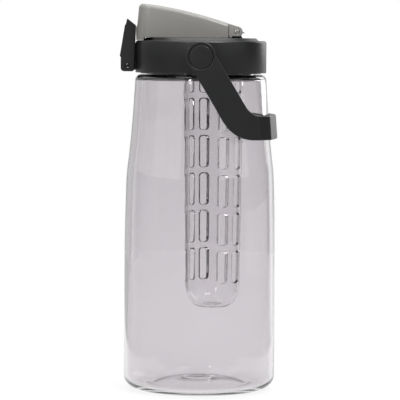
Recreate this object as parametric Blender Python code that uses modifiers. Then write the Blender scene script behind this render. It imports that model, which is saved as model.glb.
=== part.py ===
"""Infuser pitcher: a clear bottle with a screw lid, a latched flip cap over the spout, a swinging
carry handle and a slotted infuser tube that hangs from the lid. Metres, +Z up. The origin is the
middle of the base on the bottle's axis. -X is the pouring side, +X the side of the cap's hinge, and
the handle's pivots lie on Y."""

import math

import bmesh
import bpy
import numpy as np
from mathutils import Matrix, Vector

MM = 0.001

# Gaps between pieces
FIT_GAP = 0.3 * MM
THREAD_GAP = 0.35 * MM
SWING_GAP = 0.5 * MM
GRIP_GAP = 1.1 * MM
NOSE_GAP = 0.25 * MM
CATCH_GAP = 0.4 * MM
PLUG_GAP = 0.5 * MM
RING_GAP = 0.15 * MM

# Bottle: barrel, taper, shoulder, neck and base
BARREL_R = 55.0 * MM
BODY_WALL = 2.6 * MM
CORNER_REACH = 13.2 * MM
CORNER_RISE = 10.5 * MM
REST_WIDTH = 5.0 * MM
PUSH_UP = 5.0 * MM
FLOOR_WALL = 3.2 * MM
BARREL_TOP_Z = 42.0 * MM
BARREL_PULL_Z = 116.8 * MM
KINK_Z = 158.3 * MM
KINK_INSET = 1.7 * MM
KINK_SOFT = 6.0 * MM
TAPER_PULL_Z = 185.9 * MM
TAPER_PULL_INSET = 5.3 * MM
SHOULDER_INSET = 7.4 * MM
SHOULDER_Z = 228.5 * MM
SHOULDER_DROP = 4.8 * MM
SHOULDER_REACH = 3.9 * MM
NECK_INSET = 15.5 * MM
NECK_WALL = 2.5 * MM
NECK_HEIGHT = 17.1 * MM
RIM_CHAMFER = 0.6 * MM

# Screw thread, the same helix on the neck and in the lid
THREAD_PITCH = 5.0 * MM
THREAD_TURNS = 1.25
THREAD_DEPTH = 1.5 * MM
THREAD_ROOT = 2.6 * MM
THREAD_CREST = 1.0 * MM
THREAD_START = 5.5 * MM
THREAD_SINK = 0.6 * MM

# Lid: seal, seat, skirt, plate and collar
SEAL_THICK = 1.8 * MM
SEAL_OVERHANG = 0.7 * MM
SEAT_THICK = 2.3 * MM
PLATE_RISE = 4.4 * MM
PLATE_THICK = 3.5 * MM
PLATE_CHAMFER = 2.2 * MM
SKIRT_WALL = 2.4 * MM
SKIRT_LIFT = 0.5 * MM
COLLAR_WALL = 3.3 * MM
COLLAR_FLANGE = 2.2 * MM
COLLAR_LIP = 1.4 * MM
COLLAR_SKIRT_SHOW = 0.6 * MM
COLLAR_TOP_ROUND = 1.8 * MM
COLLAR_FOOT_ROUND = 0.5 * MM

# Infuser tube and its socket in the lid
INFUSER_MARGIN = 5.5 * MM
INFUSER_R = 22.2 * MM
INFUSER_END_R = 19.9 * MM
INFUSER_WALL = 1.8 * MM
INFUSER_LENGTH = 190.8 * MM
INFUSER_DOME = 16.1 * MM
INFUSER_FLAT_R = 8.4 * MM
SOCKET_WALL = 1.6 * MM
SOCKET_DEPTH = 10.2 * MM
O_RING_DROP = 5.0 * MM
O_RING_SINK = 1.0 * MM
SLOT_WIDTH = 10.0 * MM
SLOT_INNER_WIDTH = 5.6 * MM
SLOT_HEIGHT = 23.0 * MM
SLOT_PITCH = 27.4 * MM
SLOT_CHAMFER = 2.2 * MM
SLOT_FIRST_RISE = 18.25 * MM
SLOT_ROWS = 6
SLOT_COLUMNS = 3
SLOT_FIRST_DEG = 20.0
SLOT_STEP_DEG = 36.0
DRAIN_R = 1.1 * MM
DRAIN_RING_R = 5.6 * MM
DRAIN_COUNT = 6

# Spout
SPOUT_SETBACK = 21.0 * MM
SPOUT_BORE_R = 6.6 * MM
SPOUT_WALL = 1.5 * MM
SPOUT_SHANK_WALL = 2.4 * MM
SPOUT_RISE = 12.2 * MM
SPOUT_TAIL = 1.6 * MM
SPOUT_LIP = 0.6 * MM
SPOUT_LIP_HEIGHT = 2.0 * MM
FLANGE_REACH = 2.7 * MM
FLANGE_THICK = 1.6 * MM
GASKET_THICK = 0.8 * MM
GASKET_WIDTH = 1.8 * MM
RECESS_DEPTH = 1.5 * MM

# Flip cap: outer cover, inner frame and plug
CAP_HALF_WIDTH = 21.0 * MM
CAP_SETBACK = 0.75 * MM
CAP_LIFT = 0.2 * MM
CAP_HEIGHT = 24.4 * MM
CAP_LEAN = 0.082
CAP_NOSE_SKIRT = 5.6 * MM
CAP_FRONT_SLOPE = 0.085
CAP_BACK_SLOPE = 0.34
CAP_NOSE_ROUND = 9.0 * MM
CAP_EDGE_ROUND = 2.6 * MM
CAP_WALL = 2.0 * MM
FRAME_WALL = 1.5 * MM
CAP_SEAM_LEAD = 6.3 * MM
LEDGE_REACH = 0.25 * MM
LEDGE_HALF_WIDTH = 8.0 * MM
LEDGE_TOP = 7.2 * MM
LEDGE_SLOPE = 3.6 * MM
PLUG_DEPTH = 2.5 * MM
PLUG_TAPER = 0.5 * MM
PLUG_FLANGE_R = 8.6 * MM
PLUG_FLANGE_THICK = 2.0 * MM
PLUG_STEM_R = 3.0 * MM
PLUG_BUTTON_R = 4.2 * MM
PLUG_BUTTON_THICK = 1.0 * MM
WEB_THICK = 1.4 * MM
WEB_HALF_LENGTH = 11.5 * MM

# Cap hinge
HINGE_INSET = 16.35 * MM
HINGE_RISE = 4.5 * MM
PIN_R = 1.5 * MM
LUG_R = 4.0 * MM
LUG_WIDTH = 7.2 * MM
LUG_FOOT_GAP = 1.3 * MM
KNUCKLE_R = 3.4 * MM
KNUCKLE_WIDTH = 7.0 * MM
PAD_RISE = 0.9 * MM
PAD_LENGTH = 14.7 * MM
BRIDGE_LENGTH = 1.7 * MM
BRIDGE_THICK = 2.2 * MM
HINGE_WIRE_R = 0.45 * MM
HINGE_COIL_R = 2.7 * MM
HINGE_TURNS = 6
HINGE_COIL_PITCH = 1.4 * MM
HINGE_TIP = 2.7 * MM
HINGE_LEG = 8.6 * MM

# Latch
LATCH_STANDOFF = 5.9 * MM
LATCH_PIN_RISE = 4.8 * MM
LATCH_TIP_RISE = 34.0 * MM
LATCH_RAMP_DROP = 4.8 * MM
LATCH_FRONT = 4.6 * MM
LATCH_PAD = 0.7 * MM
LATCH_PAD_RISE = 7.0 * MM
LATCH_TIP_SETBACK = 0.1 * MM
LATCH_NECK_DROP = 4.1 * MM
LATCH_NECK_SETBACK = 1.0 * MM
LATCH_FOOT_BACK = 4.6 * MM
LATCH_FOOT_DROP = 4.0 * MM
LATCH_FOOT_ROUND = 2.6 * MM
LATCH_HALF_WIDTH = 9.0 * MM
LATCH_CHEEK = 3.0 * MM
LATCH_FACE = 1.4 * MM
LATCH_ROOF_DROP = 12.5 * MM
LATCH_PIN_R = 1.1 * MM
LATCH_LUG_R = 2.9 * MM
LATCH_LUG_WIDTH = 2.4 * MM
LATCH_RIB = 3.2 * MM
LATCH_WIRE_R = 0.25 * MM
LATCH_COIL_R = 2.2 * MM
LATCH_TURNS = 4
LATCH_COIL_PITCH = 1.0 * MM
LATCH_SPRING_FOOT = 1.5 * MM

# Handle, its studs and washers
HANDLE_HANG_DEG = -59.2
HANDLE_WIDTH = 19.2 * MM
HANDLE_EYE_R = 10.8 * MM
HANDLE_ARM = 4.5 * MM
HANDLE_GRIP = 4.2 * MM
HANDLE_LEAN = 0.075
HANDLE_GRIP_TOP_Z = 199.8 * MM
HANDLE_GRIP_HEIGHT = 16.9 * MM
HANDLE_TOP_BEND = 13.7 * MM
HANDLE_LOW_BEND = 24.9 * MM
HANDLE_FACET_RUN = 8.0 * MM
HANDLE_FACET_DROP = 8.8 * MM
HANDLE_BOW = 6.0 * MM
BOSS_R = 9.2 * MM
WASHER_THICK = 0.6 * MM
WASHER_R = 8.4 * MM
STUD_R = 4.0 * MM
STUD_HEAD_R = 8.4 * MM
STUD_HEAD_THICK = 1.9 * MM

# Facets round a full turn
BODY_FACETS = 48
LID_FACETS = 48
TUBE_FACETS = 32
RING_FACETS = 28
SMALL_FACETS = 16
DRAIN_FACETS = 8
CURL_POINTS = 9
ROOF_STEPS = 7
ARC_STEP_DEG = 15.0

# Heights and radii that follow from the values above
KINK_R = BARREL_R - KINK_INSET
TAPER_PULL_R = BARREL_R - TAPER_PULL_INSET
SHOULDER_R = BARREL_R - SHOULDER_INSET
NECK_R = BARREL_R - NECK_INSET
RIM_Z = SHOULDER_Z + NECK_HEIGHT
SEAL_Z = RIM_Z + FIT_GAP
SEAT_Z = SEAL_Z + SEAL_THICK + FIT_GAP
STEP_Z = SEAT_Z + SEAT_THICK
PLATE_Z = STEP_Z + PLATE_RISE
PLATE_UNDER_Z = PLATE_Z - PLATE_THICK
SKIRT_Z = SHOULDER_Z + SKIRT_LIFT
SKIRT_IN_R = NECK_R + THREAD_DEPTH + THREAD_GAP
SKIRT_R = SKIRT_IN_R + SKIRT_WALL
COLLAR_IN_R = SKIRT_R + FIT_GAP
COLLAR_R = COLLAR_IN_R + COLLAR_WALL
COLLAR_Z = SKIRT_Z + COLLAR_SKIRT_SHOW
COLLAR_TOP_Z = STEP_Z + FIT_GAP + COLLAR_FLANGE
PLATE_R = SKIRT_R - COLLAR_LIP - FIT_GAP
CAP_Z = PLATE_Z + CAP_LIFT
CAP_TOP_Z = CAP_Z + CAP_HEIGHT
CAP_FRONT_X = -(COLLAR_R - CAP_SETBACK)
HINGE_X = PLATE_R - HINGE_INSET
HINGE_Z = PLATE_Z + HINGE_RISE
CAP_SEAM_X = HINGE_X - CAP_SEAM_LEAD
SPOUT_AXIS_X = CAP_FRONT_X + SPOUT_SETBACK
SPOUT_TOP_Z = PLATE_Z + SPOUT_RISE
SPOUT_SHANK_R = SPOUT_BORE_R + SPOUT_SHANK_WALL
LATCH_PIN_X = -(COLLAR_R + LATCH_STANDOFF)
LATCH_PIN_Z = COLLAR_Z + LATCH_PIN_RISE
PIVOT_Z = (COLLAR_Z + COLLAR_TOP_Z) / 2
INFUSER_X = NECK_R - NECK_WALL - INFUSER_R - INFUSER_MARGIN
SOCKET_IN_R = INFUSER_R + FIT_GAP
INFUSER_TOP_Z = PLATE_UNDER_Z - SWING_GAP
INFUSER_Z = INFUSER_TOP_Z - INFUSER_LENGTH


def fresh_scene():
    """Empties the scene and makes the two collections."""
    for old in list(bpy.data.objects):
        bpy.data.objects.remove(old)
    made = []
    for name in ("infuser_pitcher", "cutters"):
        collection = bpy.data.collections.new(name)
        bpy.context.scene.collection.children.link(collection)
        made.append(collection)
    return made


PARTS, CUTTERS = fresh_scene()


def plastic(name, colour, roughness, metallic=0.0, alpha=1.0):
    """A plain material with the part's colour, roughness and metallic value."""
    made = bpy.data.materials.new(name)
    made.use_nodes = True
    shader = made.node_tree.nodes["Principled BSDF"]
    shader.inputs["Base Color"].default_value = (*colour, 1.0)
    shader.inputs["Roughness"].default_value = roughness
    shader.inputs["Metallic"].default_value = metallic
    shader.inputs["Alpha"].default_value = alpha
    made.diffuse_color = (*colour, alpha)
    return made


CLEAR = plastic("clear_plastic", (0.80, 0.79, 0.81), 0.04, alpha=0.35)
CHARCOAL = plastic("charcoal_plastic", (0.032, 0.033, 0.034), 0.42)
WARM_GREY = plastic("warm_grey_plastic", (0.22, 0.21, 0.19), 0.45)
SILICONE = plastic("silicone", (0.72, 0.72, 0.70), 0.60)
STEEL = plastic("steel", (0.60, 0.60, 0.60), 0.25, metallic=1.0)
SPRING_STEEL = plastic("spring_steel", (0.12, 0.12, 0.12), 0.35, metallic=1.0)


def turn_line(points):
    """Profile points (radius, height) as a chain of edges in the XZ plane."""
    mesh = bmesh.new()
    verts = [mesh.verts.new((radius, 0.0, height)) for radius, height in points]
    for first, second in zip(verts, verts[1:]):
        mesh.edges.new((first, second))
    return mesh, verts


def shade(data, angle_deg=30.0):
    data.shade_smooth()
    data.set_sharp_from_angle(angle=math.radians(angle_deg))


def put(name, mesh, material, at=(0.0, 0.0, 0.0)):
    """Turns a bmesh into a part object with its material."""
    data = bpy.data.meshes.new(name)
    mesh.to_mesh(data)
    mesh.free()
    shade(data)
    made = bpy.data.objects.new(name, data)
    made.location = at
    if material:
        data.materials.append(material)
        PARTS.objects.link(made)
    else:
        made.hide_render = True
        made.display_type = "WIRE"
        CUTTERS.objects.link(made)
    return made


def turned(name, points, facets, material=None, closed=False, at=(0.0, 0.0, 0.0)):
    """A turned shape: a profile that runs down its outer side, swept round Z."""
    mesh, verts = turn_line(points)
    if closed:
        mesh.edges.new((verts[-1], verts[0]))
    made = put(name, mesh, material, at)
    screw = made.modifiers.new("turn", "SCREW")
    screw.steps = facets
    screw.render_steps = facets
    screw.use_merge_vertices = True
    screw.merge_threshold = 0.00001
    screw.use_smooth_shade = True
    return made


def ring_profile(inner, outer, low, high):
    return [(inner, high), (outer, high), (outer, low), (inner, low)]


def wire_ring(name, radius, wire_r, height, material, at=(0.0, 0.0, 0.0)):
    """A ring of round section, as an O-ring."""
    steps = 6
    angles = [-2 * math.pi * k / steps for k in range(steps)]
    points = [(radius + wire_r * math.cos(a), height + wire_r * math.sin(a)) for a in angles]
    return turned(name, points, RING_FACETS, material, closed=True, at=at)


def box(name, low, high, material=None):
    """A box between two corners."""
    mesh = bmesh.new()
    bmesh.ops.create_cube(mesh, size=1.0)
    low, high = Vector(low), Vector(high)
    size = Matrix.Diagonal((*(high - low), 1.0))
    bmesh.ops.transform(mesh, matrix=Matrix.Translation((low + high) / 2) @ size, verts=mesh.verts)
    return put(name, mesh, material)


def rod_y(name, x, z, radius, y_from, y_to, material=None, facets=SMALL_FACETS):
    """A cylinder along Y, with its object's origin on its axis."""
    mesh = bmesh.new()
    length = y_to - y_from
    bmesh.ops.create_cone(mesh, cap_ends=True, segments=facets, radius1=radius, radius2=radius, depth=length)
    turn = Matrix.Rotation(math.pi / 2, 4, "X")
    place = Matrix.Translation((0.0, (y_from + y_to) / 2, 0.0))
    bmesh.ops.transform(mesh, matrix=place @ turn, verts=mesh.verts)
    return put(name, mesh, material, (x, 0.0, z))


def outline_face(mesh, points):
    """Adds a flat face on a closed outline and returns it with its edges and corners."""
    verts = [mesh.verts.new(point) for point in points]
    edges = [mesh.edges.new(pair) for pair in zip(verts, verts[1:] + verts[:1])]
    faces = bmesh.ops.edgeloop_fill(mesh, edges=edges)["faces"]
    return verts + edges + faces


def slab(points, run):
    """A solid between a flat outline and its copy at a distance."""
    mesh = bmesh.new()
    outline_face(mesh, points)
    grown = bmesh.ops.extrude_face_region(mesh, geom=list(mesh.faces), use_keep_orig=True)["geom"]
    moved = [v for v in grown if isinstance(v, bmesh.types.BMVert)]
    bmesh.ops.translate(mesh, vec=run, verts=moved)
    bmesh.ops.recalc_face_normals(mesh, faces=mesh.faces)
    return mesh


def plate_y(name, outline, y_from, y_to, material=None, at=(0.0, 0.0, 0.0)):
    """A flat outline of (x, z) points, as a plate between two places along Y."""
    mesh = slab([(x, y_from, z) for x, z in outline], (0.0, y_to - y_from, 0.0))
    return put(name, mesh, material, at)


def boolean(target, tool, operation):
    modifier = target.modifiers.new(tool.name, "BOOLEAN")
    modifier.operation = operation
    modifier.object = tool
    modifier.solver = "EXACT"


def cut(target, *tools):
    for tool in tools:
        boolean(target, tool, "DIFFERENCE")


def join(target, *tools):
    for tool in tools:
        boolean(target, tool, "UNION")


def rounded(corners):
    """An outline of (a, b, radius) corners, each corner with a radius turned into an arc."""
    points = []
    count = len(corners)
    for k, (a, b, radius) in enumerate(corners):
        here = Vector((a, b))
        if radius <= 0.0:
            points.append((a, b))
            continue
        back = (Vector(corners[k - 1][:2]) - here).normalized()
        ahead = (Vector(corners[(k + 1) % count][:2]) - here).normalized()
        half = back.angle(ahead) / 2
        centre = here + (back + ahead).normalized() * (radius / math.sin(half))
        start = here + back * (radius / math.tan(half)) - centre
        sweep = start.angle_signed(here + ahead * (radius / math.tan(half)) - centre)
        steps = max(1, round(math.degrees(abs(sweep)) / ARC_STEP_DEG))
        for step in range(steps + 1):
            spot = centre + Matrix.Rotation(-sweep * step / steps, 2) @ start
            points.append((spot.x, spot.y))
    return points


def bend(first, pull, last, steps):
    """Points of a curve from first towards pull and on to last, without its first point."""
    made = []
    for step in range(1, steps + 1):
        t = step / steps
        weights = ((1 - t) ** 2, 2 * t * (1 - t), t**2)
        made.append(tuple(sum(w * p[i] for w, p in zip(weights, (first, pull, last))) for i in (0, 1)))
    return made


def quarter(centre, reach, rise, from_deg, steps):
    """A quarter of an ellipse, turning clockwise from the given angle, both ends included."""
    made = []
    for step in range(steps + 1):
        a = math.radians(from_deg - 90.0 * step / steps)
        made.append((centre[0] + reach * math.cos(a), centre[1] + rise * math.sin(a)))
    return made


def toward(start, end, distance):
    """The point at a distance from start on the way to end."""
    start, end = Vector(start), Vector(end)
    return tuple(start + (end - start).normalized() * distance)


def body_side(inset, steps):
    """The bottle's side from the neck's foot down to the base, moved inwards by inset."""
    shoulder_steps = 2 if inset else 3
    corner_steps = 3 if inset else 4
    top = SHOULDER_Z - inset
    edge = (SHOULDER_R - inset, SHOULDER_Z - SHOULDER_DROP)
    taper_pull = (TAPER_PULL_R - inset, TAPER_PULL_Z)
    barrel_pull = (BARREL_R - inset, BARREL_PULL_Z)
    kink = (KINK_R - inset, KINK_Z)
    above = toward(kink, taper_pull, KINK_SOFT)
    below = toward(kink, barrel_pull, KINK_SOFT)
    barrel = (BARREL_R - inset, BARREL_TOP_Z)
    drop = top - edge[1]
    side = [(NECK_R - (NECK_WALL if inset else 0.0), top)]
    side += quarter((edge[0] - SHOULDER_REACH, edge[1]), SHOULDER_REACH, drop, 90.0, shoulder_steps)
    side += bend(edge, taper_pull, above, steps)
    side += bend(above, kink, below, 2)
    side += bend(below, barrel_pull, barrel, steps)
    foot_inset = FLOOR_WALL if inset else 0.0
    corner = (BARREL_R - CORNER_REACH, CORNER_RISE)
    side += quarter(corner, CORNER_REACH - inset, CORNER_RISE - foot_inset, 0.0, corner_steps)[1:]
    return side


def body_radius(z):
    """The bottle's outer radius at a height."""
    side = sorted((height, radius) for radius, height in body_side(0.0, 24))
    return float(np.interp(z, [s[0] for s in side], [s[1] for s in side]))


def thread(name, wall_r, depth, start_z, facets):
    """A helical ridge of tapered section on a wall, inwards when its depth is negative."""
    sunk = wall_r - math.copysign(THREAD_SINK, depth)
    crest = wall_r + depth
    mesh = bmesh.new()
    section = [
        (sunk, -THREAD_ROOT / 2),
        (crest, -THREAD_CREST / 2),
        (crest, THREAD_CREST / 2),
        (sunk, THREAD_ROOT / 2),
    ]
    start = outline_face(mesh, [(radius, 0.0, start_z + height) for radius, height in section])
    steps = round(facets * THREAD_TURNS)
    rise = (0.0, 0.0, THREAD_PITCH * THREAD_TURNS / steps)
    angle = 2 * math.pi * THREAD_TURNS
    bmesh.ops.spin(
        mesh,
        geom=start,
        cent=(0.0, 0.0, 0.0),
        axis=(0.0, 0.0, 1.0),
        dvec=rise,
        angle=angle,
        steps=steps,
    )
    bmesh.ops.holes_fill(mesh, edges=mesh.edges)
    bmesh.ops.recalc_face_normals(mesh, faces=mesh.faces)
    return put(name, mesh, None)


def coil(centre, radius, pitch, turns, start_deg, y_middle=0.0):
    """Points of a coil round Y, turning from +X towards +Z, or back when turns is negative."""
    count = round(abs(turns) * CURL_POINTS)
    length = abs(turns) * pitch
    points = []
    for k in range(count + 1):
        a = math.radians(start_deg) + 2 * math.pi * turns * k / count
        y = y_middle - length / 2 + length * k / count
        points.append((centre[0] + radius * math.cos(a), y, centre[1] + radius * math.sin(a)))
    return points


def least_gap(points, wire_r):
    """The least gap between a wire's own turns, measured between points more than half a turn apart."""
    spots = np.array(points)
    apart = np.linalg.norm(spots[:, None] - spots[None, :], axis=2)
    index = np.arange(len(spots))
    far = np.abs(index[:, None] - index[None, :]) > CURL_POINTS // 2
    return float(apart[far].min()) - 2 * wire_r


def wire(name, points, wire_r, material):
    """One unbroken round wire through the points."""
    curve = bpy.data.curves.new(name, "CURVE")
    curve.dimensions = "3D"
    curve.bevel_depth = wire_r
    curve.bevel_resolution = 1
    curve.use_fill_caps = True
    spline = curve.splines.new("POLY")
    spline.points.add(len(points) - 1)
    for point, spot in zip(spline.points, points):
        point.co = (*spot, 1.0)
    curve.materials.append(material)
    made = bpy.data.objects.new(name, curve)
    PARTS.objects.link(made)
    print(f"{name}: least gap to itself {least_gap(points, wire_r) / MM:.2f} mm")
    return made


def make_bottle():
    """Blown body: outer side, pushed-up base, inner floor and inner side in one profile."""
    outer = body_side(0.0, 3)
    inner = body_side(BODY_WALL, 2)
    ring_r = outer[-1][0] - REST_WIDTH
    inner_foot = inner[-1]
    rim = [
        (NECK_R - NECK_WALL, RIM_Z - RIM_CHAMFER),
        (NECK_R - NECK_WALL + RIM_CHAMFER, RIM_Z),
        (NECK_R - RIM_CHAMFER, RIM_Z),
        (NECK_R, RIM_Z - RIM_CHAMFER),
    ]
    base = bend((ring_r, 0.0), (ring_r * 0.6, PUSH_UP), (0.0, PUSH_UP), 3)
    floor_top = PUSH_UP + FLOOR_WALL
    floor = bend(inner_foot, (ring_r * 0.6, floor_top), (0.0, floor_top), 2)
    profile = floor[::-1] + inner[::-1] + rim + outer + [(ring_r, 0.0)] + base
    body = turned("bottle_body", profile, BODY_FACETS, CLEAR)
    start_z = SHOULDER_Z + THREAD_START
    join(body, thread("neck_thread", NECK_R, THREAD_DEPTH, start_z, BODY_FACETS))
    return body


def make_lid_base():
    """Inner lid: plate, seat for the seal, threaded skirt, infuser socket and hinge knuckles."""
    profile = [
        (0.0, PLATE_Z),
        (PLATE_R - PLATE_CHAMFER, PLATE_Z),
        (PLATE_R, PLATE_Z - PLATE_CHAMFER),
        (PLATE_R, STEP_Z),
        (SKIRT_R, STEP_Z),
        (SKIRT_R, SKIRT_Z),
        (SKIRT_IN_R, SKIRT_Z),
        (SKIRT_IN_R, SEAT_Z),
        (NECK_R - NECK_WALL - SEAL_OVERHANG, SEAT_Z),
        (NECK_R - NECK_WALL - SEAL_OVERHANG, PLATE_UNDER_Z),
        (0.0, PLATE_UNDER_Z),
    ]
    lid = turned("lid_base", profile, LID_FACETS, CHARCOAL)
    start_z = SHOULDER_Z + THREAD_START - THREAD_PITCH / 2
    join(lid, thread("lid_thread", SKIRT_IN_R, -THREAD_DEPTH, start_z, LID_FACETS))
    socket = ring_profile(
        SOCKET_IN_R, SOCKET_IN_R + SOCKET_WALL, PLATE_UNDER_Z - SOCKET_DEPTH, PLATE_UNDER_Z + THREAD_SINK
    )
    join(lid, turned("socket_ring", socket, RING_FACETS, closed=True, at=(INFUSER_X, 0.0, 0.0)))
    reach = KNUCKLE_WIDTH + spring_half_room()
    pad_back = HINGE_X + LUG_R
    pad_low = PLATE_Z - THREAD_SINK
    pad_high = PLATE_Z + PAD_RISE
    join(lid, box("hinge_pad", (pad_back - PAD_LENGTH, -reach, pad_low), (pad_back, reach, pad_high)))
    for side, name in ((-1, "near"), (1, "far")):
        ends = sorted((side * spring_half_room(), side * reach))
        web = [
            (HINGE_X - KNUCKLE_R, pad_low),
            (HINGE_X + KNUCKLE_R, pad_low),
            (HINGE_X + KNUCKLE_R, HINGE_Z),
        ]
        web += [
            (HINGE_X + KNUCKLE_R * math.cos(a), HINGE_Z + KNUCKLE_R * math.sin(a))
            for a in np.linspace(0.0, math.pi, 9)[1:]
        ]
        join(lid, plate_y(f"knuckle_{name}", web, ends[0], ends[1]))
    bore = rod_y("knuckle_bore", HINGE_X, HINGE_Z, PIN_R + FIT_GAP, -CAP_HALF_WIDTH, CAP_HALF_WIDTH)
    hole_r = SPOUT_SHANK_R + FIT_GAP
    recess_r = SPOUT_SHANK_R + FLANGE_REACH + FIT_GAP
    recess_z = PLATE_Z - RECESS_DEPTH
    hole = [
        (0.0, PLATE_Z + RECESS_DEPTH),
        (recess_r, PLATE_Z + RECESS_DEPTH),
        (recess_r, recess_z),
        (hole_r, recess_z),
        (hole_r, PLATE_UNDER_Z - RECESS_DEPTH),
        (0.0, PLATE_UNDER_Z - RECESS_DEPTH),
    ]
    cut(lid, bore, turned("spout_hole", hole, RING_FACETS, at=(SPOUT_AXIS_X, 0.0, 0.0)))
    return lid


def spring_half_room():
    """Half the room along Y that the hinge's coil needs between the knuckles."""
    return HINGE_TURNS * HINGE_COIL_PITCH / 2 + HINGE_WIRE_R + SWING_GAP


def make_lid_collar():
    """Outer ring with the handle's bosses on Y and the latch's lugs at the front."""
    flange_in = PLATE_R + FIT_GAP
    profile = [(flange_in, COLLAR_TOP_Z)]
    edge = (COLLAR_R - COLLAR_TOP_ROUND, COLLAR_TOP_Z - COLLAR_TOP_ROUND)
    profile += quarter(edge, COLLAR_TOP_ROUND, COLLAR_TOP_ROUND, 90.0, 3)
    profile += [
        (COLLAR_R, COLLAR_Z + COLLAR_FOOT_ROUND),
        (COLLAR_R - COLLAR_FOOT_ROUND, COLLAR_Z),
        (COLLAR_IN_R, COLLAR_Z),
        (COLLAR_IN_R, STEP_Z + FIT_GAP),
        (flange_in, STEP_Z + FIT_GAP),
    ]
    collar = turned("lid_collar", profile, LID_FACETS, CHARCOAL, closed=True)
    boss_in = COLLAR_IN_R + COLLAR_WALL / 2
    for side, name in ((-1, "near"), (1, "far")):
        ends = sorted((side * boss_in, side * boss_face_y()))
        join(collar, rod_y(f"boss_{name}", 0.0, PIVOT_Z, BOSS_R, *ends, facets=RING_FACETS))
        ends = sorted((side * latch_lug_in(), side * (latch_lug_in() + LATCH_LUG_WIDTH)))
        rib_x = -COLLAR_R - LATCH_RIB
        rib_z = COLLAR_TOP_Z - COLLAR_TOP_ROUND
        lug = [(-boss_in, LATCH_PIN_Z - LATCH_LUG_R), (-boss_in, rib_z), (rib_x, rib_z)]
        lug += [(rib_x, LATCH_PIN_Z + 2 * LATCH_LUG_R)]
        lug += [
            (LATCH_PIN_X - LATCH_LUG_R * math.sin(a), LATCH_PIN_Z + LATCH_LUG_R * math.cos(a))
            for a in np.linspace(0.0, math.pi, 9)
        ]
        join(collar, plate_y(f"latch_lug_{name}", lug, *ends))
    bore_r = STUD_R + FIT_GAP
    far = boss_face_y() + BOSS_R
    near_bore = rod_y("stud_bore_near", 0.0, PIVOT_Z, bore_r, -far, -COLLAR_IN_R / 2)
    far_bore = rod_y("stud_bore_far", 0.0, PIVOT_Z, bore_r, COLLAR_IN_R / 2, far)
    pin_hole_r = LATCH_PIN_R + FIT_GAP
    half = LATCH_HALF_WIDTH
    pin_bore = rod_y("latch_lug_bore", LATCH_PIN_X, LATCH_PIN_Z, pin_hole_r, -half, half)
    cut(collar, near_bore, far_bore, pin_bore)
    return collar


def latch_lug_in():
    """Inner face of a latch lug, clear of the latch's spring."""
    return LATCH_TURNS * LATCH_COIL_PITCH / 2 + LATCH_WIRE_R + SWING_GAP + FIT_GAP


def latch_channel():
    """Half the width between the latch's cheeks."""
    return LATCH_HALF_WIDTH - LATCH_CHEEK


def boss_face_y():
    """Outer face of a handle boss, so that washer and arm clear the bottle's widest place behind the arm."""
    return handle_inner_y() - 2 * FIT_GAP - WASHER_THICK


def handle_inner_y():
    """Inner face of the handle's arms."""
    low = HANDLE_GRIP_TOP_Z - HANDLE_GRIP_HEIGHT
    return max(body_radius(low) + SWING_GAP, COLLAR_R + WASHER_THICK + 2 * FIT_GAP + HANDLE_ARM / 2)


def make_seals():
    neck_in = NECK_R - NECK_WALL
    seal = ring_profile(neck_in, NECK_R + THREAD_DEPTH, SEAL_Z, SEAL_Z + SEAL_THICK)
    turned("lid_seal", seal, RING_FACETS, SILICONE, closed=True)
    low = PLATE_Z - RECESS_DEPTH + FIT_GAP
    inner = SPOUT_SHANK_R + FIT_GAP
    gasket = ring_profile(inner, inner + GASKET_WIDTH, low, low + GASKET_THICK)
    turned("spout_seal", gasket, RING_FACETS, SILICONE, closed=True, at=(SPOUT_AXIS_X, 0.0, 0.0))
    ring_r = (INFUSER_R - O_RING_SINK + SOCKET_IN_R) / 2
    ring_z = INFUSER_TOP_Z - O_RING_DROP
    wire_ring("infuser_seal", ring_r, o_ring_wire_r(), ring_z, SILICONE, at=(INFUSER_X, 0.0, 0.0))


def o_ring_wire_r():
    """Half the section of the infuser's ring, which just fills its groove out to the socket."""
    return (SOCKET_IN_R - INFUSER_R + O_RING_SINK) / 2 - RING_GAP


def make_spout():
    """Pouring tube with a flange that sits in the plate's recess."""
    flange_z = PLATE_Z - RECESS_DEPTH + 2 * FIT_GAP + GASKET_THICK
    tube_r = SPOUT_BORE_R + SPOUT_WALL
    profile = [
        (SPOUT_BORE_R, SPOUT_TOP_Z),
        (tube_r + SPOUT_LIP / 2, SPOUT_TOP_Z),
        (tube_r + SPOUT_LIP, SPOUT_TOP_Z - SPOUT_LIP_HEIGHT / 2),
        (tube_r, SPOUT_TOP_Z - SPOUT_LIP_HEIGHT),
        (tube_r, flange_z + 2 * FLANGE_THICK),
        (SPOUT_SHANK_R, flange_z + FLANGE_THICK),
        (SPOUT_SHANK_R + FLANGE_REACH, flange_z + FLANGE_THICK),
        (SPOUT_SHANK_R + FLANGE_REACH, flange_z),
        (SPOUT_SHANK_R, flange_z),
        (SPOUT_SHANK_R, PLATE_UNDER_Z - SPOUT_TAIL),
        (SPOUT_BORE_R, PLATE_UNDER_Z - SPOUT_TAIL),
    ]
    return turned("pour_spout", profile, RING_FACETS, CHARCOAL, closed=True, at=(SPOUT_AXIS_X, 0.0, 0.0))


def roof_line(back_x):
    """The cap's falling top line from its front corner back to back_x."""
    front = (CAP_FRONT_X, CAP_TOP_Z)
    back = (HINGE_X, HINGE_Z + LUG_R)
    pull_x = (back[1] + CAP_BACK_SLOPE * back[0] - front[1] - CAP_FRONT_SLOPE * front[0]) / (
        CAP_BACK_SLOPE - CAP_FRONT_SLOPE
    )
    pull = (pull_x, front[1] - CAP_FRONT_SLOPE * (pull_x - front[0]))
    line = np.array([front] + bend(front, pull, back, 24))
    xs = np.linspace(CAP_FRONT_X, back_x, ROOF_STEPS + 1)
    return [(float(x), float(np.interp(x, line[:, 0], line[:, 1]))) for x in xs]


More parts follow.
